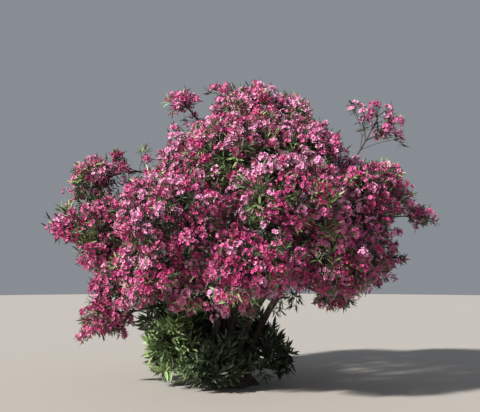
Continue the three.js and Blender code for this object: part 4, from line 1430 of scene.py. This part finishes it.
def one_flower():
    """Five petals from the foot of a funnel. Each is two triangles that widen from the foot to three
    corners, at the given turns from its middle, so it is blunt, folded and a little skewed. It faces
    +Z, and its radius is about 1."""
    rows = [[[0, 0, -FUNNEL_DEPTH]]]
    for turn, reach, rise in PETAL_CORNERS:
        angle = np.radians(360 / PETALS * np.arange(PETALS) + turn)
        across, up = reach * np.cos(angle), reach * np.sin(angle)
        rows.append(np.stack([across, up, np.full(PETALS, rise)], axis=1))
    shape = np.vstack(rows)
    foot = np.zeros(PETALS, int)
    first, second, third = np.arange(1, len(shape)).reshape(-1, PETALS)
    faces = np.vstack([np.stack([foot, first, second], axis=1), np.stack([foot, second, third], axis=1)])
    outwards = np.minimum(np.arange(len(shape)), 1)
    return shape, faces, np.stack([np.full(len(shape), 0.5), outwards], axis=1)


def one_bud():
    """A slim three-sided spindle along Y, widest at seven tenths of its length."""
    angle = np.radians([0, 120, 240])
    wide, along = BUD_BELLY
    belly = np.stack([wide * np.cos(angle), np.full(3, along), wide * np.sin(angle)], axis=1)
    shape = np.vstack([[[0, 0, 0]], belly, [[0, 1, 0]]])
    faces = np.array([[0, 1, 2], [0, 2, 3], [0, 3, 1], [4, 2, 1], [4, 3, 2], [4, 1, 3]])
    return shape, faces, np.stack([np.full(5, 0.5), shape[:, 1]], axis=1)


flower = one_flower()
bud = one_bud()
print("flower triangles:", len(flower[1]), "bud triangles:", len(bud[1]))

# %% Domes of blossom on the shoots
FLOWER_RADIUS = 0.0275  # metres
FLOWERS_PER_DOME = 10
DOME_REACH = 0.058  # metres from the shoot's tip to the middle of a flower
DOME_UPWARD = 0.4  # 0 faces along the shoot, and 1 straight up
DOME_SPREAD = 1.15  # 1 is half of the round, and 2 all of it
DOME_VARIES = 0.22
FLOWER_REACHES = (0.8, 1.15)  # against the usual reach
FLOWER_SIZES = (0.72, 1.2)  # against the usual radius, along each of a flower's axes
OPEN_SHARE = (0.6, 1.0)  # of a dome's flowers


def dome_headings(outward, count, spread, rng):
    """For each dome, a golden spiral of headings round its own way out, each a little astray."""
    turns = rng.uniform(0, 2 * np.pi, (len(outward), 1))
    headings = spiral_headings(outward, count, spread, turns)
    return unit(headings + rng.normal(0, DOME_VARIES, headings.shape))


bearing = shoots[flowering]
tips = bearing[:, 2]
way = unit(mix(headings_on(bearing, [1.0])[:, 0], UP, DOME_UPWARD))
open_share = rng.uniform(*OPEN_SHARE, len(bearing))
heads = dome_headings(way, FLOWERS_PER_DOME, DOME_SPREAD, rng)
shown = rng.random(heads.shape[:2]) < open_share[:, None]
reach = DOME_REACH * rng.uniform(*FLOWER_REACHES, heads.shape[:2])
middles = tips[:, None] + heads * reach[..., None]
flower_tint = np.broadcast_to(petal_tint[flowering][:, None], shown.shape)[shown]
flower_at, flower_way = middles[shown], heads[shown]
flower_size = FLOWER_RADIUS * rng.uniform(*FLOWER_SIZES, (len(flower_at), 3))
flower_turn = unit(rng.normal(0, 1, (len(flower_at), 3)))
print("domes:", len(bearing), "flowers:", len(flower_at))

# %% Buds on the domes
BUDS_PER_DOME = 1
BUD_SPREAD = 0.5
BUD_LENGTHS = (0.05, 0.08)  # metres
bud_heads = dome_headings(way, BUDS_PER_DOME, BUD_SPREAD, rng).reshape(-1, 3)
bud_roots = np.repeat(tips, BUDS_PER_DOME, axis=0)
bud_lengths = rng.uniform(*BUD_LENGTHS, len(bud_roots))
print("buds:", len(bud_roots))

# %% [markdown]
# A petal is matt and thin. It is deepest in the funnel and pales to its edge, so its finish blends
# two colours along the UV map. Its tint is one of three plain rose colours, dealt out by spray.

# %% The colours of a petal
THROAT_END = 0.1  # of the way from the funnel's foot to the rim
EDGE_START = 0.85

petal_group, given, made = new_group(
    "petal_fade",
    {
        "Throat": ("NodeSocketColor", (0.5, 0.05, 0.15, 1)),
        "Edge": ("NodeSocketColor", (0.8, 0.3, 0.45, 1)),
    },
    {"Colour": "NodeSocketColor"},
)
petal_uv = add_node(petal_group, "ShaderNodeUVMap", {"uv_map": "blade"}).outputs[0]
outwards = add_node(petal_group, "ShaderNodeSeparateXYZ", Vector=petal_uv).outputs[1]
pale_share = add_range(petal_group, outwards, THROAT_END, EDGE_START)
faded = add_blend(petal_group, pale_share, given.outputs["Throat"], given.outputs["Edge"])
petal_group.links.new(faded, made.inputs["Colour"])
print("group:", petal_group.name, "nodes:", len(petal_group.nodes))

# %% The finish of a petal
PETAL_ROUGHNESS = (0.75, 0.6)  # where the colour drifts dark, and where it drifts light
PETAL_SHEEN = 0.15


def petal_material(name, throat, edge):
    """A matt petal that pales from its throat to its edge."""
    material, tree, shader = new_material(name)
    fade = place_group(tree, petal_group, Throat=(*throat, 1), Edge=(*edge, 1))
    colour = fade.outputs["Colour"]
    drifting = place_group(tree, drift, Colour=colour, Broad_scale=3.0, Fine_scale=28.0, Amount=0.55)
    tree.links.new(drifting.outputs["Colour"], shader.inputs["Base Color"])
    rough = add_range(tree, drifting.outputs["Shade"], *SHADES, *PETAL_ROUGHNESS)
    tree.links.new(rough, shader.inputs["Roughness"])
    shader.inputs["Sheen Weight"].default_value = PETAL_SHEEN
    return material


PETAL_COLOURS = {  # throat and edge
    "deep": ((0.36, 0.013, 0.115), (0.58, 0.052, 0.235)),
    "rose": ((0.51, 0.040, 0.210), (0.75, 0.165, 0.400)),
    "light": ((0.61, 0.136, 0.350), (0.85, 0.385, 0.625)),
}
BUD_COLOURS = ((0.10, 0.10, 0.03), (0.62, 0.03, 0.13))
for number, tint in enumerate(PETAL_TINTS):
    material = petal_material(f"petal_{tint}", *PETAL_COLOURS[tint])
    mine = flower_tint == number
    axes = frames_from(unit(np.cross(flower_way[mine], flower_turn[mine])), flower_way[mine])
    vertices, faces, uv = set_many(*flower, axes, flower_at[mine], flower_size[mine])
    new_piece(f"blossom_{tint}", vertices, faces, material, flower_nodes, uv=uv, smooth=False)
axes = frames_from(bud_heads, np.cross(bud_heads, SKEW))
scales = np.repeat(bud_lengths[:, None], 3, axis=1)
vertices, faces, uv = set_many(*bud, axes, bud_roots, scales)
material = petal_material("bud_rose", *BUD_COLOURS)
new_piece("buds", vertices, faces, material, flower_nodes, uv=uv)

# %% [markdown]
# Last, the triangles of all the pieces are counted. Leaves and petals may stand a little proud of the
# solids, but nothing goes below the ground.

# %% Count the triangles
print("all triangles:", sum(pieces_made.values()))
